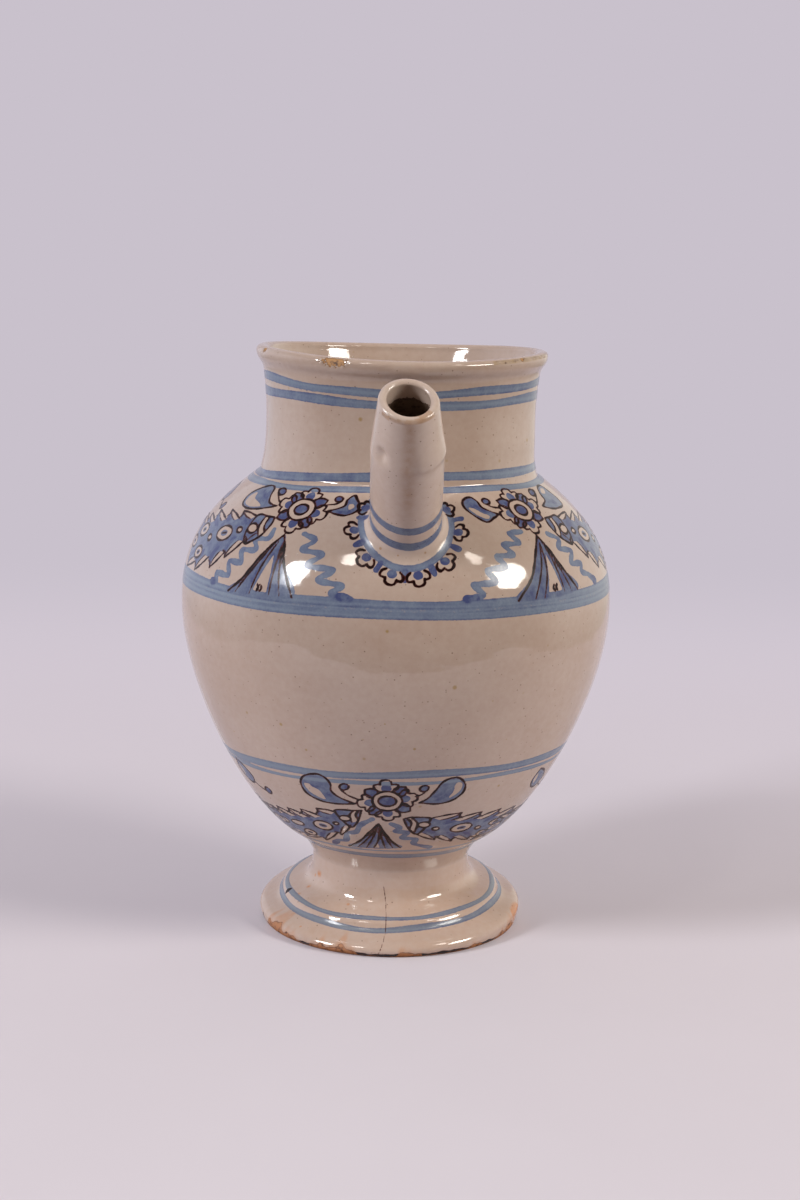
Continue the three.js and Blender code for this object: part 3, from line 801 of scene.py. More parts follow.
def shoulder_section():
    heights = (BELLY_SEAM, SHOULDER_PAINT_BASE, NECK_SEAM)
    outside = rows_between(heights, (PLAIN_SHOULDER_STEP, SHOULDER_STEP))
    inside = wall_inside(BELLY_SEAM, NECK_SEAM, INSIDE_STEP)
    inside = inside[inside[:, 0] > NECK_SEAM_RADIUS - WALL]
    inside[-1] = (BELLY_RADIUS - WALL, BELLY_SEAM)
    return np.concatenate([outside, [(NECK_SEAM_RADIUS - WALL, NECK_SEAM)], inside])


def neck_section():
    lip_base = LIP_TOP - LIP_ROUNDING
    outside = rows_between((NECK_SEAM, lip_base), (NECK_STEP,))
    half = LIP_THICKNESS / 2
    turn = np.linspace(0, np.pi, 16)[1:-1]
    lip = np.stack([LIP_RADIUS - half + half * np.cos(turn), lip_base + LIP_ROUNDING * np.sin(turn)], 1)
    inside = wall_inside(NECK_SEAM, COLLAR[1] - 2, NECK_INSIDE_STEP)
    inside = inside[inside[:, 1] > NECK_SEAM + 0.5]
    lip_foot = lip[-1] - (0, 0.5)
    throat = bezier([lip_foot, inside[0] + (0.2, 2.4), inside[0]], 10)[:-1]
    return np.concatenate([outside, lip, throat, inside, [(NECK_SEAM_RADIUS - WALL, NECK_SEAM)]])


def painted_points(points):
    """Paint for points on the jug's outside; points inside the wall get no paint."""
    radius, height = radius_of(points), points[:, 2]
    climb = np.where(radius < radius_at(height) - 1, UNPAINTED_CLIMB, climb_at(height))
    return Painted(turn_of(points), climb, radius)


def finish_body(piece, paint, *nodes, slot="tin_glaze"):
    paint.store(piece)
    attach(piece, "root")
    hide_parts(*nodes)
    return piece


def lean_foot(points, paint):
    """Tilts the flare up behind and to the right, because the foot was set on a little askew."""
    turn, height = np.radians(paint.turn), points[:, 2]
    above = (height - FOOT_LEAN_TOP) / (FOOT_TOP - FOOT_LEAN_TOP)
    share = eased(height / FOOT_LEAN_BASE) * (1 - eased(above))
    reach = radius_of(points) / FOOT_RADIUS
    rise = FOOT_LEAN * reach * (1 - np.cos(turn) + 0.3 * np.sin(turn))
    points[:, 2] += np.where(paint.climb >= 0, share * rise, 0)


def neck_spread(points):
    """How far the wet neck spread to the right."""
    turn = np.radians(turn_of(points))
    return NECK_SPREAD * eased((points[:, 2] - NECK_BASE) / NECK_SPREAD_RISE) * (1 + np.sin(turn)) / 2


def settle_lip(points):
    """Lets the lip rise at the sides and sag between them, and the neck spread, as they did while wet."""
    turn = np.radians(turn_of(points))
    spread = neck_spread(points)
    share = eased((points[:, 2] - NECK_WAIST[1]) / (LIP_TOP - NECK_WAIST[1]))
    front, back = (np.maximum(np.cos(turn - np.radians(lowest)), 0) for lowest in LIP_SAG_TURNS)
    points[:, 2] += share * (LIP_SIDE_RISE * np.sin(turn) ** 2 - LIP_FRONT_SAG * front - LIP_BACK_SAG * back)
    points[:, :2] *= (1 + spread / radius_of(points))[:, None]


def treat_foot(points, paint):
    paint_bands(paint)
    lean_foot(points, paint)
    wear_and_shade_foot(points, paint)


def treat_bowl(points, paint):
    for turn in LOWER_ROSETTES:
        lower_motif(paint.patch(turn, LOWER_CLIMB))
        sprig(paint.patch(turn + LOWER_SPRIG_TURN, LOWER_SPRIG_CLIMB))
    paint_bands(paint)


def treat_neck(points, paint):
    paint_bands(paint)
    chip_lip(points, paint)
    settle_lip(points)


def make_turned(name, section, columns, treat, *nodes, slot="tin_glaze"):
    """A turned piece, once its points are painted, worn and pushed out of true."""
    points, faces = turned(section, columns)
    paint = painted_points(points)
    treat(points, paint)
    piece = piece_from(name, points, faces)
    shade_along_outline(piece)
    return finish_body(piece, paint, *nodes, slot=slot)


def make_foot():
    return make_turned("foot_glazed", foot_section(), FOOT_COLUMNS, treat_foot, "foot", "foot_slip_joint",
                       slot="glazed_foot")


def make_bowl():
    return make_turned("bowl_glazed", bowl_section(), BOWL_COLUMNS, treat_bowl, "bowl", "belly_slip_joint")


def make_neck():
    return make_turned("neck_glazed", neck_section(), NECK_COLUMNS, treat_neck, "neck", "neck_slip_joint")


def make_shoulder():
    """The shoulder is painted once its hole is cut."""
    piece = piece_from("shoulder_glazed", *turned(shoulder_section(), SHOULDER_COLUMNS))
    cut_spout_bore(piece)
    paint = painted_points(points_of(piece))
    paint_bands(paint)
    for turn, climb, side, narrow in SHOULDER_MOTIFS:
        shoulder_motif(paint.patch(turn, climb, side), narrow)
    for turn, climb in SHOULDER_SPRIGS:
        sprig(paint.patch(turn, climb))
    paint_collar(paint)
    shade_along_outline(piece)
    return finish_body(piece, paint, "shoulder")


# Wear: chips show the bare clay, and the standing edge is rubbed; the foot's base also gets a dark band of
# painted shade

# Turn, height, half its width, half its height and depth of each chip
RIM_CHIPS = ((-29.2, 228.6, 4.6, 2, 0.9), (-71, 229, 1.6, 1, 0.4), (50, 229.2, 1.2, 0.8, 0.3),
             (160, 229.2, 4, 0.9, 0.4), (-150, 229.4, 3, 0.8, 0.3))
# The first and last turn of a rubbed stretch of the lip, and the height where it starts
LIP_WEAR = (34, 100, 228.2)
# Turn, height and width of dark ticks; turns and heights of the crack; turn, height and half sizes of flecks
FOOT_TICKS = ((-77, 11.4, 2.26), (-77, 1.4, 1.3))
FOOT_CRACK = ((-7.6, 22), (-6.2, 18), (-5, 13), (-4.7, 10), (-5.3, 6.5), (-7.2, 2))
CRACK_HALF_WIDTH = 0.17
FOOT_FLECKS = ((73, 3, 6, 3), (-66, 20.6, 1.5, 1.1), (-70, 14.4, 0.7, 0.6), (-67, 12.6, 0.6, 0.5),
               (40, 12, 0.5, 0.4))
# Middle turn, half width in degrees and top height of each rubbed stretch of the standing edge
WORN_FOOT = ((-60, 16, 5.6), (-28, 12, 4.4), (6, 6, 3.2), (37, 6, 2.6), (62, 12, 4.6), (110, 20, 3),
             (170, 25, 2.5), (-130, 22, 3.4))


def chip(points, paint, turn, height, across, up, depth):
    """Breaks a shallow flake out of the surface and bares the clay in it."""
    radius = radius_of(points)
    x = np.radians(wrapped(turn_of(points) - turn)) * radius
    y = points[:, 2] - height
    ragged = 1 + 0.22 * np.sin(3.1 * x + 1.7 * y) + 0.16 * np.sin(5.3 * y - 2.3 * x)
    reach = np.hypot(x / across, y / up) * ragged
    touched = (reach < 2) & (paint.climb > 0)
    flake = np.clip(1.15 - reach, 0, 1) * touched
    points[:, :2] *= (1 - depth * np.sqrt(flake) / np.maximum(radius, 1))[:, None]
    paint.bare = np.maximum(paint.bare, np.where(touched, level(min(across, up) * (1 - reach)), 0))


def chip_lip(points, paint):
    for one in RIM_CHIPS:
        chip(points, paint, *one)
    start, end, height = LIP_WEAR
    rubbed = (paint.turn > start) & (paint.turn < end) & (points[:, 2] > height) & (paint.climb > 0)
    paint.bare[rubbed] = np.maximum(paint.bare[rubbed], 0.45)
    paint.tint[rubbed] = 0.6


def wear_and_shade_foot(points, paint):
    """Rubs the standing edge, paints shade as a dark band along its base, and adds brown flecks, two dark
    ticks and the firing crack at the front.
    """
    turn = np.radians(paint.turn)
    outside = paint.climb >= 0
    height = points[:, 2]
    ragged = 0.5 * np.sin(17 * turn + 1.2) + 0.4 * np.sin(41 * turn) + 0.3 * np.sin(73 * turn)
    worn = np.full(len(points), 0.7)
    for middle, half, top in WORN_FOOT:
        share = wrapped(paint.turn - middle) / half
        worn = np.maximum(worn, top * np.sqrt(np.clip(1 - share**2, 0, 1)) * (0.75 + 0.35 * ragged))
    paint.bare = np.where(outside, level(worn - height), height < 0.5)
    paint.tint = np.where(outside, 0.6 * eased((1.7 * worn + 0.8 - height) / 3), 0)
    # Painted shade: a dark band in the line colours along the bottom of the foot, where it stands on the
    # floor
    paint.line = np.where(outside, level(1.7 + 0.35 * ragged - height), 0)
    for middle, top, across, up in FOOT_FLECKS:
        pick, _, mark = paint.patch(middle, climb_at(top)).area(oval((0, 0), across, up), sharp=True)
        paint.tint[pick] = np.maximum(paint.tint[pick], 1.5 * eased(mark))
    for middle, top, width in FOOT_TICKS:
        paint.patch(middle, climb_at(top)).draw([(0.2, 1), (0, 0), (-0.2, -1)], width)
    crack_turn, crack_height = flowing(FOOT_CRACK).T
    path = np.stack([np.radians(crack_turn) * radius_at(crack_height), climb_at(crack_height)], 1)
    x = turn * paint.girth
    close = (np.abs(x) < 12) & outside
    gap, _ = gap_to(x[close], paint.climb[close], path)
    paint.line[close] = np.maximum(paint.line[close], level(CRACK_HALF_WIDTH - gap))


# Spout

def spout_axes():
    lean, rise = np.radians(SPOUT_SIDE_LEAN), np.radians(SPOUT_ELEVATION)
    out = np.array([-np.sin(lean), -np.cos(rise) * np.cos(lean), np.sin(rise) * np.cos(lean)])
    right = np.cross(out, [0, 0, 1])
    right /= np.linalg.norm(right)
    right *= np.sign(right[0])
    return out, right, np.cross(out, right)


SPOUT_ROOT = np.array([-SPOUT_ASIDE, -radius_at(SPOUT_ROOT_HEIGHT), SPOUT_ROOT_HEIGHT])
SPOUT_OUT, SPOUT_RIGHT, SPOUT_BACK = spout_axes()
# Stands for the height above the jug at the spout's rim and in its bore, where nothing is painted
SPOUT_INSIDE = 99
# Lower and upper heights of the stripes round the spout, and how far up it the collar's lines reach
SPOUT_BANDS, SPOUT_LINE_TOP = ((3.7, 7.3), (11.4, 14.8)), 6


def round_spout(angle, radius, along):
    """Points at an angle and a radius about the spout's axis, and a distance along it from the root."""
    ring = np.cos(angle)[..., None] * SPOUT_RIGHT + np.sin(angle)[..., None] * SPOUT_BACK
    return SPOUT_ROOT + radius[..., None] * ring + along[..., None] * SPOUT_OUT


def surface_along(angle, radius):
    """How far along the spout's axis a line beside it meets the jug's outside."""
    radius = np.broadcast_to(radius, angle.shape)
    low, high = np.full(angle.shape, -40.0), np.full(angle.shape, 40.0)
    for _ in range(40):
        middle = (low + high) / 2
        place = round_spout(angle, radius, middle)
        inside = radius_of(place) < radius_at(place[..., 2])
        low, high = np.where(inside, middle, low), np.where(inside, high, middle)
    return (low + high) / 2


def spout_outside(along):
    """The tube's outer radius: straight up to a crease, then a taper to the tip."""
    share = np.clip((along - SPOUT_CREASE) / (SPOUT_LENGTH - SPOUT_CREASE), 0, 1)
    return SPOUT_RADIUS + (SPOUT_TIP_RADIUS - SPOUT_RADIUS) * share


def facing_front(angle):
    """The angle round the spout from its front, in degrees."""
    return wrapped(np.degrees(angle) - 270)


def finger_marks(angle, along):
    """How far fingers left the tube swollen above its crease on the right, and dimpled on the left."""
    facing = facing_front(angle)
    above = along - SPOUT_CREASE - 1.2
    swell = np.exp(-((above / np.where(above < 0, 2.6, 6)) ** 2))
    swell *= eased((facing - 2) / 22) * (1 - eased((facing - 75) / 25))
    across = SPOUT_RADIUS * np.radians(facing + 47)
    dimple = np.exp(-(across**2 + (along - SPOUT_CREASE - 3.8) ** 2) / SPOUT_DIMPLE_REACH**2)
    return SPOUT_SWELL * swell - SPOUT_DIMPLE * dimple


def spout_rings(angle):
    """Rings from the skirt up the outside, over the rim and down the bore: radius, place along, height."""
    rings = []

    def ring(*parts):
        rings.append([np.broadcast_to(part, angle.shape) for part in parts])

    skirt = SPOUT_RADIUS + SPOUT_FILLET
    foot = surface_along(angle, SPOUT_RADIUS)
    for sunk in (1.4, 0.5):
        edge = skirt + 1.6 * sunk
        ring(edge, surface_along(angle, edge) - 0.55 * sunk, -sunk)
    for turn in np.linspace(0, np.pi / 2, 22):
        radius = skirt - SPOUT_FILLET * np.sin(turn)
        rise = SPOUT_FILLET * (1 - np.cos(turn))
        ring(radius, surface_along(angle, radius) + rise, rise)
    slant = SPOUT_TIP_TILT * np.sin(angle) - SPOUT_TIP_SLANT * np.cos(angle)
    top = SPOUT_LENGTH - SPOUT_TIP_ROUNDING + slant
    for share in np.linspace(0, 1, SPOUT_ROWS)[1:]:
        along = (foot + SPOUT_FILLET) * (1 - share) + top * share
        ring(spout_outside(along) + finger_marks(angle, along), along, along - foot)
    half = SPOUT_WALL / 2
    for turn in np.linspace(0, np.pi, 12)[1:-1]:
        radius = SPOUT_TIP_RADIUS - half + half * np.cos(turn)
        ring(radius, top + SPOUT_TIP_ROUNDING * np.sin(turn), SPOUT_INSIDE)
    bottom = surface_along(angle, SPOUT_RADIUS - SPOUT_WALL) - WALL - 0.6
    for share in np.linspace(0, 1, 24):
        along = top * (1 - share) + bottom * share
        ring(spout_outside(along) - SPOUT_WALL, along, SPOUT_INSIDE)
    return (np.array(part, float) for part in zip(*rings))


def make_spout():
    radius, along, height = spout_rings(ring_angles(SPOUT_COLUMNS))
    rows = len(radius)
    angle = np.tile(ring_angles(SPOUT_COLUMNS), rows)
    radius, along, height = radius.ravel(), along.ravel(), height.ravel()
    on_jug = round_spout(angle, radius, surface_along(angle, radius))
    paint = Painted(turn_of(on_jug), climb_at(on_jug[:, 2]), radius_of(on_jug))
    sway = 0.35 * np.sin(2 * angle + 0.6)
    for low, high in SPOUT_BANDS:
        inside = np.minimum(height - low - sway, high + sway - height)
        paint.lay_blue(slice(None), level(inside), PALE + 0.16)
    paint_collar(paint)
    paint.line[height > SPOUT_LINE_TOP] = 0
    wear_and_shade_spout(paint, facing_front(angle), along, height)
    faces = [face[::-1] for face in net(rows, SPOUT_COLUMNS, closed=True)]
    piece = piece_from("spout_glazed", round_spout(angle, radius, along), faces)
    return finish_body(piece, paint, "spout", "spout_luting_coil")


def wear_and_shade_spout(paint, facing, along, height):
    """Brown wear on the front of the tip, a brown streak that runs down from it, and painted shade in the
    bore, which turns to the spout's dark clay colour.
    """
    tip = (height > 0) & (np.abs(facing) < 58) & (np.abs(along - SPOUT_LENGTH + 1.5) < 0.7)
    inside = height == SPOUT_INSIDE
    streak = 0.75 * np.exp(-(((facing - 3) / 11) ** 2)) * eased((along - 8) / 20)
    paint.tint = np.where((height > 0) & ~inside, streak, 0)
    paint.tint[tip] = 0.9
    paint.bare[tip] = 0.42
    # Painted shade: deeper in the bore the surface turns to the spout's dark clay colour
    paint.bare[inside] = eased((SPOUT_LENGTH - 3.5 - along[inside]) / 7)


def cut_spout_bore(piece):
    """Opens the hole in the shoulder that the spout's bore runs into."""
    angle = ring_angles(BORE_COLUMNS)
    radius = np.full(BORE_COLUMNS, SPOUT_RADIUS - SPOUT_WALL + 1.4)
    ends = [round_spout(angle, radius, np.full(BORE_COLUMNS, along)) for along in (-25.0, 25.0)]
    faces = [face[::-1] for face in net(2, BORE_COLUMNS, closed=False)]
    faces += [list(range(BORE_COLUMNS)), list(range(BORE_COLUMNS, 2 * BORE_COLUMNS))[::-1]]
    cutter = piece_from("spout_bore_cutter", np.concatenate(ends), faces)
    cut = piece.modifiers.new("bore", "BOOLEAN")
    cut.object, cut.operation, cut.solver = cutter, "DIFFERENCE", "MANIFOLD"
    bpy.context.view_layer.objects.active = piece
    with bpy.context.temp_override(object=piece, active_object=piece):
        bpy.ops.object.modifier_apply(modifier=cut.name)
    bpy.data.objects.remove(cutter)


# Handle

DASH_START, DASH_END, DASH_SPACING, DASH_HALF_WIDTH, DASH_HALF_LENGTH = 22, 18, 9.5, 1.7, 8.5


def handle_path():
    """The middle of the strap from wall to wall, in the plane of the spout."""
    heights = (HANDLE_TOP_HEIGHT, HANDLE_FOOT_HEIGHT)
    start, end = (np.array([radius_at(height) - WALL, height]) for height in heights)
    spine = HANDLE_REACH - HANDLE_THICKNESS / 2
    bow = (spine - 0.25 * (start[0] + end[0]) / 2) / 0.75
    path = bezier([start, (bow, start[1] + HANDLE_RISE), (bow, end[1] + HANDLE_DROP), end], 300)
    path = evenly(path, 1.0)
    return path[path[:, 0] > radius_at(path[:, 1]) - HANDLE_SEAT]


def wall_at(points):
    return radius_at(points[:, 2]) + neck_spread(points)


def seated(points, touching):
    """Keeps points from sinking deeper than the seat into the wall. Touching points lie at that depth."""
    radius = radius_of(points)
    seat = wall_at(points) - HANDLE_SEAT
    points[:, :2] *= (np.where(touching, seat, np.maximum(radius, seat)) / radius)[:, None]
    return points


def make_handle():
    """An oval strap with a thumb groove, whose ends spread into pads that follow the wall."""
    path = handle_path()
    rows, along = len(path), walk(path)
    lean = np.gradient(path, axis=0)
    lean /= np.linalg.norm(lean, axis=1)[:, None]
    angle = ring_angles(HANDLE_COLUMNS)
    outer = np.sin(angle)
    from_end = np.minimum(along, along[-1] - along)[:, None]
    groove = np.exp(-((np.cos(angle) / 0.28) ** 2)) * (outer > 0)
    groove = HANDLE_GROOVE * groove * np.clip(from_end / 12, 0, 1)

    def strap(extra):
        across = (HANDLE_WIDTH / 2 + extra) * np.cos(angle)
        thick = (HANDLE_THICKNESS / 2 + extra) * np.sign(outer) * np.abs(outer) ** 0.8 - groove
        sides = [across, path[:, :1] - lean[:, 1:] * thick, path[:, 1:] + lean[:, :1] * thick]
        return np.stack(sides, -1).reshape(-1, 3)

    plain = strap(np.zeros_like(groove))
    stand_off = radius_of(plain) - wall_at(plain)
    pad = HANDLE_PAD_WIDTH * np.clip(1 - stand_off / HANDLE_PAD_REACH, 0, 1.1) ** 2.5
    row = np.repeat(np.arange(rows), HANDLE_COLUMNS)
    points = seated(strap(pad.reshape(groove.shape)), (row == 0) | (row == rows - 1))
    middles = np.array([points[:HANDLE_COLUMNS].mean(0), points[-HANDLE_COLUMNS:].mean(0)])
    points = np.concatenate([points, seated(middles, True)])
    paint = Painted(np.zeros(len(points)), np.full(len(points), UNPAINTED_CLIMB), np.ones(len(points)))
    place = np.append(np.repeat(along, HANDLE_COLUMNS), [0, 0])
    outward = np.append(np.tile(outer, rows), [0, 0]) > -0.1
    for middle in np.arange(DASH_START, along[-1] - DASH_END, DASH_SPACING):
        beside = DASH_HALF_WIDTH - np.abs(place - middle - 0.5 * np.sin(middle))
        dash = np.minimum(beside, DASH_HALF_LENGTH - np.abs(points[:, 0] + np.sin(middle)))
        paint.lay_blue(slice(None), np.where(outward, level(dash), 0), PALE + 0.2)
    faces = net(rows, HANDLE_COLUMNS, closed=False) + caps(rows, HANDLE_COLUMNS)
    piece = piece_from("handle_glazed", points, faces)
    return finish_body(piece, paint, "handle", "handle_upper_luting", "handle_lower_luting")


# Materials

def srgb(red, green, blue):
    value = np.array([red, green, blue]) / 255
    linear = np.where(value <= 0.04045, value / 12.92, ((value + 0.055) / 1.055) ** 2.4)
    return (*linear.tolist(), 1.0)


PALE_BLUE, FOOT_PALE_BLUE, DEEP_BLUE = srgb(118, 134, 154), srgb(120, 130, 143), srgb(44, 62, 114)
DARK_LINE, THIN_LINE, SPECK = srgb(22, 8, 8), srgb(80, 38, 34), srgb(96, 70, 52)
GLAZE_IOR = 1.62


class Nodes:
    """Adds nodes to one tree. Inputs take a value or another node's output."""

    def __init__(self, tree, coordinates=None):
        self.tree = tree
        if coordinates:
            self.place = self.add("ShaderNodeTexCoord").outputs[coordinates]

    def give(self, socket, value):
        if isinstance(value, bpy.types.NodeSocket):
            self.tree.links.new(value, socket)
        else:
            socket.default_value = value

    def add(self, kind, settings=None, **inputs):
        """A node with its settings. Inputs are named by their sockets, or by n and the socket's number."""
        made = self.tree.nodes.new(kind)
        for name, value in (settings or {}).items():
            setattr(made, name, value)
        for name, value in inputs.items():
            numbered = name[0] == "n" and name[1:].isdigit()
            self.give(made.inputs[int(name[1:]) if numbered else name.replace("_", " ")], value)
        return made

    def group(self, tree, **inputs):
        return self.add("ShaderNodeGroup", {"node_tree": tree}, **inputs).outputs

    def math(self, operation, *values):
        inputs = {f"n{i}": value for i, value in enumerate(values)}
        return self.add("ShaderNodeMath", {"operation": operation}, **inputs).outputs[0]

    def times(self, first, second):
        return self.math("MULTIPLY", first, second)

    def plus(self, first, second):
        return self.math("ADD", first, second)

    def larger(self, first, second):
        return self.math("MAXIMUM", first, second)

    def mix(self, share, first, second):
        return self.add("ShaderNodeMix", {"data_type": "RGBA"}, n0=share, n6=first, n7=second).outputs[2]

    def straight(self, value, low, high, out_low=0.0, out_high=1.0, kind="LINEAR"):
        """Brings a value from one range to another."""
        ranges = {"From_Min": low, "From_Max": high, "To_Min": out_low, "To_Max": out_high}
        made = self.add("ShaderNodeMapRange", {"interpolation_type": kind}, Value=value, **ranges)
        return made.outputs["Result"]

    def stepped(self, value, low, high, out_low=0.0, out_high=1.0):
        """The same, with soft ends."""
        return self.straight(value, low, high, out_low, out_high, "SMOOTHSTEP")

    def grain(self, scale, detail):
        noise = self.add("ShaderNodeTexNoise", Vector=self.place, Scale=scale, Detail=detail, Roughness=0.55)
        return noise.outputs["Fac"]

    def spread_grain(self, scale, detail, low, high):
        """Noise brought from its usual range to another."""
        return self.straight(self.grain(scale, detail), 0.3, 0.7, low, high)

    def layer(self, name):
        """One of the paint's levels."""
        return self.add("ShaderNodeAttribute", {"attribute_name": "paint_" + name}).outputs["Fac"]

    def scattered(self, scale, share, size):
        """Small round spots of several sizes, in a share of the cells of a loose net."""
        cells = self.add("ShaderNodeTexVoronoi", Vector=self.place, Scale=scale).outputs
        lots = self.add("ShaderNodeSeparateColor", Color=cells["Color"]).outputs
        chosen = self.stepped(lots[0], 1 - share, 1.03 - share)
        spread = self.straight(lots[1], 0, 1, 0.5, 1.5)
        distance = self.math("DIVIDE", cells["Distance"], spread)
        return self.times(self.stepped(distance, size, 0.4 * size), chosen)


def new_group(name, colours, numbers, results):
    """A node group that takes colours and numbers, and gives a colour and some numbers."""
    tree = bpy.data.node_groups.new(name, "ShaderNodeTree")
    colour, number = "NodeSocketColor", "NodeSocketFloat"
    for labels, kind in ((colours, colour), (numbers, number)):
        for label in labels:
            tree.interface.new_socket(label, in_out="INPUT", socket_type=kind)
    for labels, kind in ((["Colour"], colour), (results, number)):
        for label in labels:
            tree.interface.new_socket(label, in_out="OUTPUT", socket_type=kind)
    given, put = tree.nodes.new("NodeGroupInput"), tree.nodes.new("NodeGroupOutput")
    return Nodes(tree, "Object"), given.outputs, put.inputs


def tin_glaze_group():
    """A warm white glaze that clouds a little over faint throwing rings, with specks and stains."""
    nodes, given, put = new_group("tin glaze", ["Glaze", "Thin Glaze", "Speck", "Stain"], ["Ring Depth"],
                                  ["Height", "Dullness"])
    times, plus = nodes.times, nodes.plus
    cloud = nodes.stepped(nodes.grain(24, 4), 0.36, 0.68)
    fine = nodes.spread_grain(420, 3, 0, 0.42)
    thin = times(plus(times(cloud, 0.5), fine), 0.8)
    ground = nodes.mix(thin, given["Glaze"], given["Thin Glaze"])
    stain = nodes.scattered(100, 0.85, 0.08)
    patchy = times(nodes.layer("tint"), nodes.spread_grain(300, 3, 0.4, 1.0))
    stained = nodes.mix(nodes.larger(times(stain, 0.85), patchy), ground, given["Stain"])
    speck = nodes.scattered(480, 0.6, 0.13)
    rings = nodes.add("ShaderNodeTexWave", {"bands_direction": "Z"}, Vector=nodes.place, Scale=75.0,
                      Distortion=1.2, Detail=2.0)
    waves = plus(nodes.grain(42, 2), times(rings.outputs["Fac"], given["Ring Depth"]))
    waves = plus(waves, times(nodes.grain(130, 2), 0.14))
    peel = times(nodes.grain(620, 2), 0.025)
    pits = times(plus(speck, stain), 0.05)
    nodes.give(put["Colour"], nodes.mix(times(speck, 0.65), stained, given["Speck"]))
    nodes.give(put["Height"], nodes.math("SUBTRACT", plus(waves, peel), pits))
    nodes.give(put["Dullness"], nodes.straight(fine, 0, 0.42, 0.04, 0.1))
    return nodes.tree


def brushwork_group():
    """Blue washes and dark outlines over a ground, with the uneven edges and streaks of a brush."""
    nodes, given, put = new_group("brushwork", ["Ground", "Pale Blue", "Deep Blue", "Line", "Thin Line"], [],
                                  ["Paint"])
    times, plus = nodes.times, nodes.plus
    ragged = nodes.spread_grain(900, 2, -0.05, 0.05)
    pooled = times(nodes.spread_grain(230, 3, -0.5, 0.5), nodes.layer("depth"))
    streak = nodes.spread_grain(1300, 1, -0.08, 0.08)
    blue_level = plus(nodes.layer("blue"), ragged)
    blue = nodes.stepped(blue_level, 0.42, 0.56)
    rim = times(nodes.stepped(blue_level, 0.85, 0.55), 0.14)
    depth = plus(plus(nodes.layer("depth"), pooled), plus(streak, rim))
    wash = nodes.mix(depth, given["Pale Blue"], given["Deep Blue"])
    covered = nodes.mix(times(blue, 0.93), given["Ground"], wash)
    line_level = plus(nodes.layer("line"), times(ragged, 0.8))
    ink = nodes.mix(nodes.stepped(line_level, 0.5, 0.68), given["Thin Line"], given["Line"])
    line = nodes.stepped(line_level, 0.44, 0.56)
    nodes.give(put["Colour"], nodes.mix(line, covered, ink))
    nodes.give(put["Paint"], nodes.larger(line, times(blue, 0.6)))
    return nodes.tree


def bare_clay_group():
    """Where the glaze is chipped or rubbed away: fired clay with a dark, dirty edge."""
    nodes, given, put = new_group("bare clay", ["Over", "Clay", "Dirt"], [], ["Bare"])
    worn = nodes.plus(nodes.layer("bare"), nodes.spread_grain(650, 4, -0.16, 0.16))
    bare = nodes.stepped(worn, 0.44, 0.56)
    dirt = nodes.stepped(nodes.grain(560, 4), 0.48, 0.68)
    edge = nodes.stepped(worn, 0.8, 0.5)
    clay = nodes.mix(nodes.larger(nodes.times(edge, 0.75), dirt), given["Clay"], given["Dirt"])
    nodes.give(put["Colour"], nodes.mix(bare, given["Over"], clay))
    nodes.give(put["Bare"], bare)
    return nodes.tree


def new_material(name, coordinates=None):
    material = bpy.data.materials.new(name)
    material.use_nodes = True
    return material, Nodes(material.node_tree, coordinates), material.node_tree.nodes["Principled BSDF"]


def painted_glaze(name, groups, glaze, thin_glaze, stain, clay, dirt, ring_depth=0.03, pale_blue=PALE_BLUE,
                  dulled=0.0):
    """A glossy painted tin glaze over clay. Painted places are a little rougher and shine less."""
    material, nodes, shader = new_material(name)
    ground = nodes.group(groups["tin glaze"], Glaze=glaze, Thin_Glaze=thin_glaze, Speck=SPECK, Stain=stain,
                         Ring_Depth=ring_depth)
    brushed = nodes.group(groups["brushwork"], Ground=ground["Colour"], Pale_Blue=pale_blue,
                          Deep_Blue=DEEP_BLUE, Line=DARK_LINE, Thin_Line=THIN_LINE)
    clayed = nodes.group(groups["bare clay"], Over=brushed["Colour"], Clay=clay, Dirt=dirt)
    dull = nodes.plus(ground["Dullness"], nodes.times(brushed["Paint"], 0.18))
    rough = nodes.math("MULTIPLY_ADD", clayed["Bare"], 0.6, nodes.plus(dull, dulled))
    height = nodes.math("SUBTRACT", ground["Height"], nodes.times(clayed["Bare"], 0.4))
    bump = nodes.add("ShaderNodeBump", Strength=0.35, Distance=0.0012, Height=height)
    nodes.give(shader.inputs["Base Color"], clayed["Colour"])
    nodes.give(shader.inputs["Roughness"], rough)
    nodes.give(shader.inputs["Specular IOR Level"], nodes.math("MULTIPLY_ADD", brushed["Paint"], -0.34, 0.5))
    nodes.give(shader.inputs["Normal"], bump.outputs["Normal"])
    shader.inputs["IOR"].default_value = GLAZE_IOR
    return material


# Stage: a pale sweep, soft lamps and the camera

FLOOR_FRONT, FLOOR_BACK, SWEEP_RADIUS, SWEEP_TOP, SWEEP_HALF = -300, 850, 150, 1700, 440
BACKDROP = srgb(201, 193, 204)
LAMP_TARGET = Vector((0, 0, 0.13))
# Turn, elevation, distance in metres, width, height, power and colour
LAMPS = {
    "left_softbox": (-63.7, 29, 2.4, 0.54, 0.92, 37, (1, 1, 1)),
    "right_softbox": (63.8, 29, 2.4, 0.9, 0.86, 36, (1, 0.96, 0.87)),
    "left_top_lamp": (-37, 50, 3.2, 0.4, 0.5, 6.5, (1, 0.93, 0.86)),
    "right_top_lamp": (52, 48, 3.2, 0.42, 0.66, 6.5, (1, 0.9, 0.8)),
}
COOL_WALL, WARM_WALL, DARK_ROOM = (0.8, 0.8, 0.92, 1), (0.92, 0.88, 0.84, 1), (0.085, 0.062, 0.05, 1)


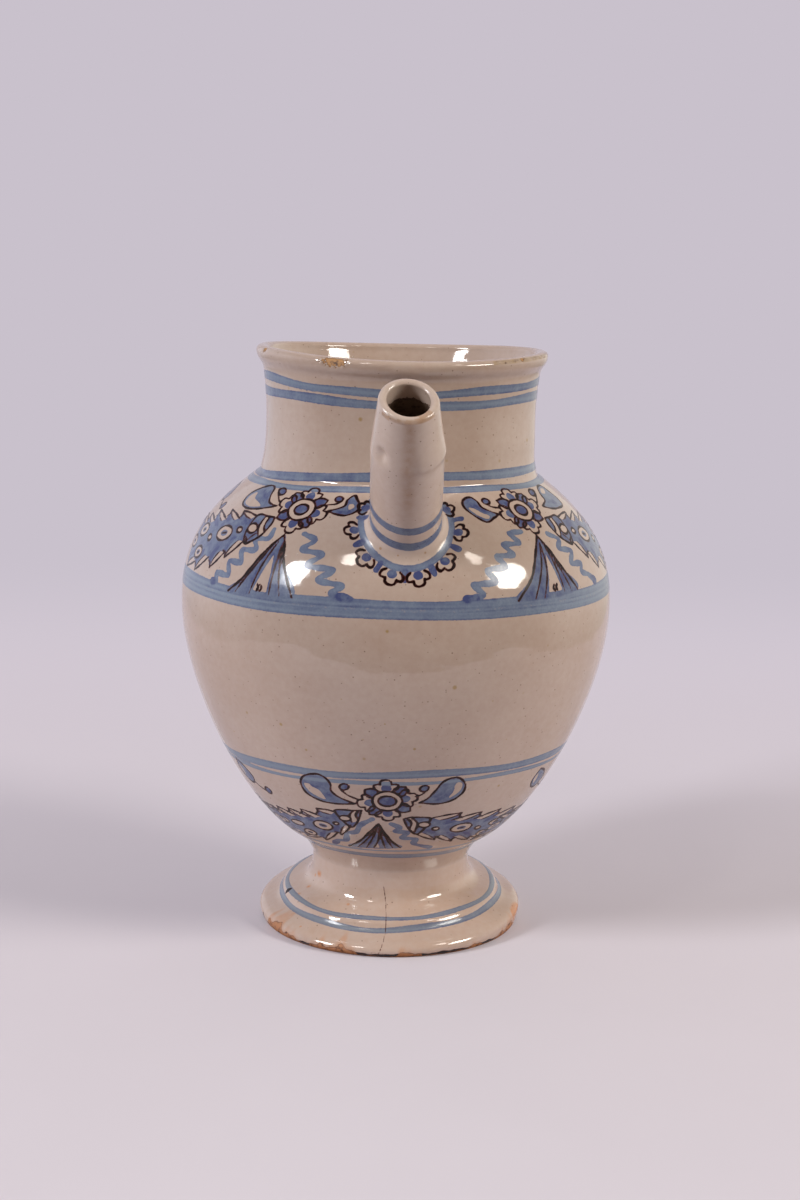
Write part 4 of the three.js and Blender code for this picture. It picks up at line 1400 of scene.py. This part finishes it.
def make_sweep():
    """Paper that the lamps light in front, and that glows evenly behind the jug."""
    turn = np.linspace(0, np.pi / 2, 16)
    bend = np.stack([FLOOR_BACK + SWEEP_RADIUS * np.sin(turn), SWEEP_RADIUS * (1 - np.cos(turn))], 1)
    side = np.concatenate([[(FLOOR_FRONT, 0)], bend, [(FLOOR_BACK + SWEEP_RADIUS, SWEEP_TOP)]])
    points = np.array([(x, y, z) for y, z in side for x in (-SWEEP_HALF, SWEEP_HALF)])
    faces = [[2 * i, 2 * i + 1, 2 * i + 3, 2 * i + 2] for i in range(len(side) - 1)]
    sweep = piece_from("sweep", points, faces)
    material, nodes, shader = new_material("pale_sweep", "Object")
    paper = nodes.mix(nodes.spread_grain(6, 3, 0, 1), srgb(213, 207, 216), srgb(210, 204, 213))
    nodes.give(shader.inputs["Base Color"], paper)
    shader.inputs["Roughness"].default_value = 0.9
    shader.inputs["Specular IOR Level"].default_value = 0.1
    back = nodes.add("ShaderNodeSeparateXYZ", Vector=nodes.place).outputs["Y"]
    behind = nodes.stepped(back, -0.08, 0.6, 0.1, 1)
    rays = nodes.add("ShaderNodeLightPath").outputs
    seen = nodes.larger(rays["Is Camera Ray"], rays["Is Glossy Ray"])
    tone = nodes.mix(nodes.stepped(back, 0.3, 0.9), srgb(212, 202, 212), BACKDROP)
    glow = nodes.add("ShaderNodeEmission", Color=tone)
    blend = nodes.add("ShaderNodeMixShader", n0=nodes.times(seen, behind), n1=shader.outputs[0],
                      n2=glow.outputs[0])
    nodes.give(nodes.tree.nodes["Material Output"].inputs["Surface"], blend.outputs[0])
    sweep.data.materials.append(material)


def make_lamp(name, turn, elevation, distance, width, height, power, colour):
    lamp = bpy.data.lights.new(name, "AREA")
    lamp.shape, lamp.size, lamp.size_y, lamp.energy, lamp.color = "ELLIPSE", width, height, power, colour
    holder = bpy.data.objects.new(name, lamp)
    turn, elevation = np.radians(turn), np.radians(elevation)
    way = Vector(round_jug(turn, np.cos(elevation), np.sin(elevation)))
    holder.location = LAMP_TARGET + way * distance
    holder.rotation_mode = "QUATERNION"
    holder.rotation_quaternion = way.to_track_quat("Z", "Y")
    bpy.context.scene.collection.objects.link(holder)


def make_room():
    """Pale walls beside and behind the jug, warmer on the right; dark behind the camera and overhead."""
    world = bpy.data.worlds.new("room")
    world.use_nodes = True
    nodes = Nodes(world.node_tree, "Generated")
    way = nodes.add("ShaderNodeSeparateXYZ", Vector=nodes.place).outputs
    beside = nodes.stepped(way["Y"], -0.55, 0.2)
    below_ceiling = nodes.stepped(way["Z"], 0.75, 0.3, 0.25, 1)
    above_floor = nodes.stepped(way["Z"], -0.3, 0.0, 0.35, 1)
    walls = nodes.mix(nodes.stepped(way["X"], -0.5, 0.5), COOL_WALL, WARM_WALL)
    lit = nodes.mix(nodes.times(beside, nodes.times(below_ceiling, above_floor)), DARK_ROOM, walls)
    seen = nodes.add("ShaderNodeLightPath").outputs["Is Camera Ray"]
    nodes.give(nodes.tree.nodes["Background"].inputs["Color"], nodes.mix(seen, lit, BACKDROP))
    bpy.context.scene.world = world


def make_light():
    for name, settings in LAMPS.items():
        make_lamp(name, *settings)
    make_room()


def make_camera():
    lens = bpy.data.cameras.new("camera")
    lens.lens, lens.sensor_width = CAMERA_LENS, CAMERA_SENSOR
    camera = bpy.data.objects.new("camera", lens)
    camera.location = round_jug(np.radians(CAMERA_TURN), CAMERA_DISTANCE, CAMERA_HEIGHT) * MM
    heading = Matrix.Rotation(np.radians(CAMERA_TURN - CAMERA_LOOK_ASIDE), 3, "Z")
    pitch = Matrix.Rotation(np.radians(90 - CAMERA_PITCH), 3, "X")
    roll = Matrix.Rotation(np.radians(CAMERA_ROLL), 3, "Z")
    camera.rotation_mode = "QUATERNION"
    camera.rotation_quaternion = (heading @ pitch @ roll).to_quaternion()
    bpy.context.scene.collection.objects.link(camera)
    bpy.context.scene.camera = camera


def dress_jug():
    groups = {"tin glaze": tin_glaze_group(), "brushwork": brushwork_group(), "bare clay": bare_clay_group()}
    body = painted_glaze(
        "painted_tin_glaze", groups, glaze=srgb(188, 168, 156), thin_glaze=srgb(174, 149, 134),
        stain=srgb(160, 132, 84), clay=srgb(180, 132, 80), dirt=srgb(74, 44, 26))
    spout = painted_glaze(
        "spout_tin_glaze", groups, glaze=srgb(199, 180, 169), thin_glaze=srgb(186, 162, 147),
        # The spout's dark clay colours show in its worn tip, and paint the shade deep in its bore
        stain=srgb(172, 136, 108), clay=srgb(104, 84, 68), dirt=srgb(74, 52, 38), dulled=0.12)
    foot = painted_glaze(
        "worn_foot_glaze", groups, glaze=srgb(190, 169, 157), thin_glaze=srgb(182, 153, 134),
        stain=srgb(190, 130, 86), clay=srgb(170, 116, 78), dirt=srgb(84, 48, 30), ring_depth=0.1,
        pale_blue=FOOT_PALE_BLUE)
    for make, glaze in ((make_bowl, body), (make_shoulder, body), (make_neck, body), (make_handle, body),
                        (make_spout, spout), (make_foot, foot)):
        piece = make()
        piece.data.materials.clear()
        piece.data.materials.append(glaze)


make_camera()
make_light()
make_sweep()
dress_jug()
bpy.context.scene.view_settings.view_transform = "Standard"
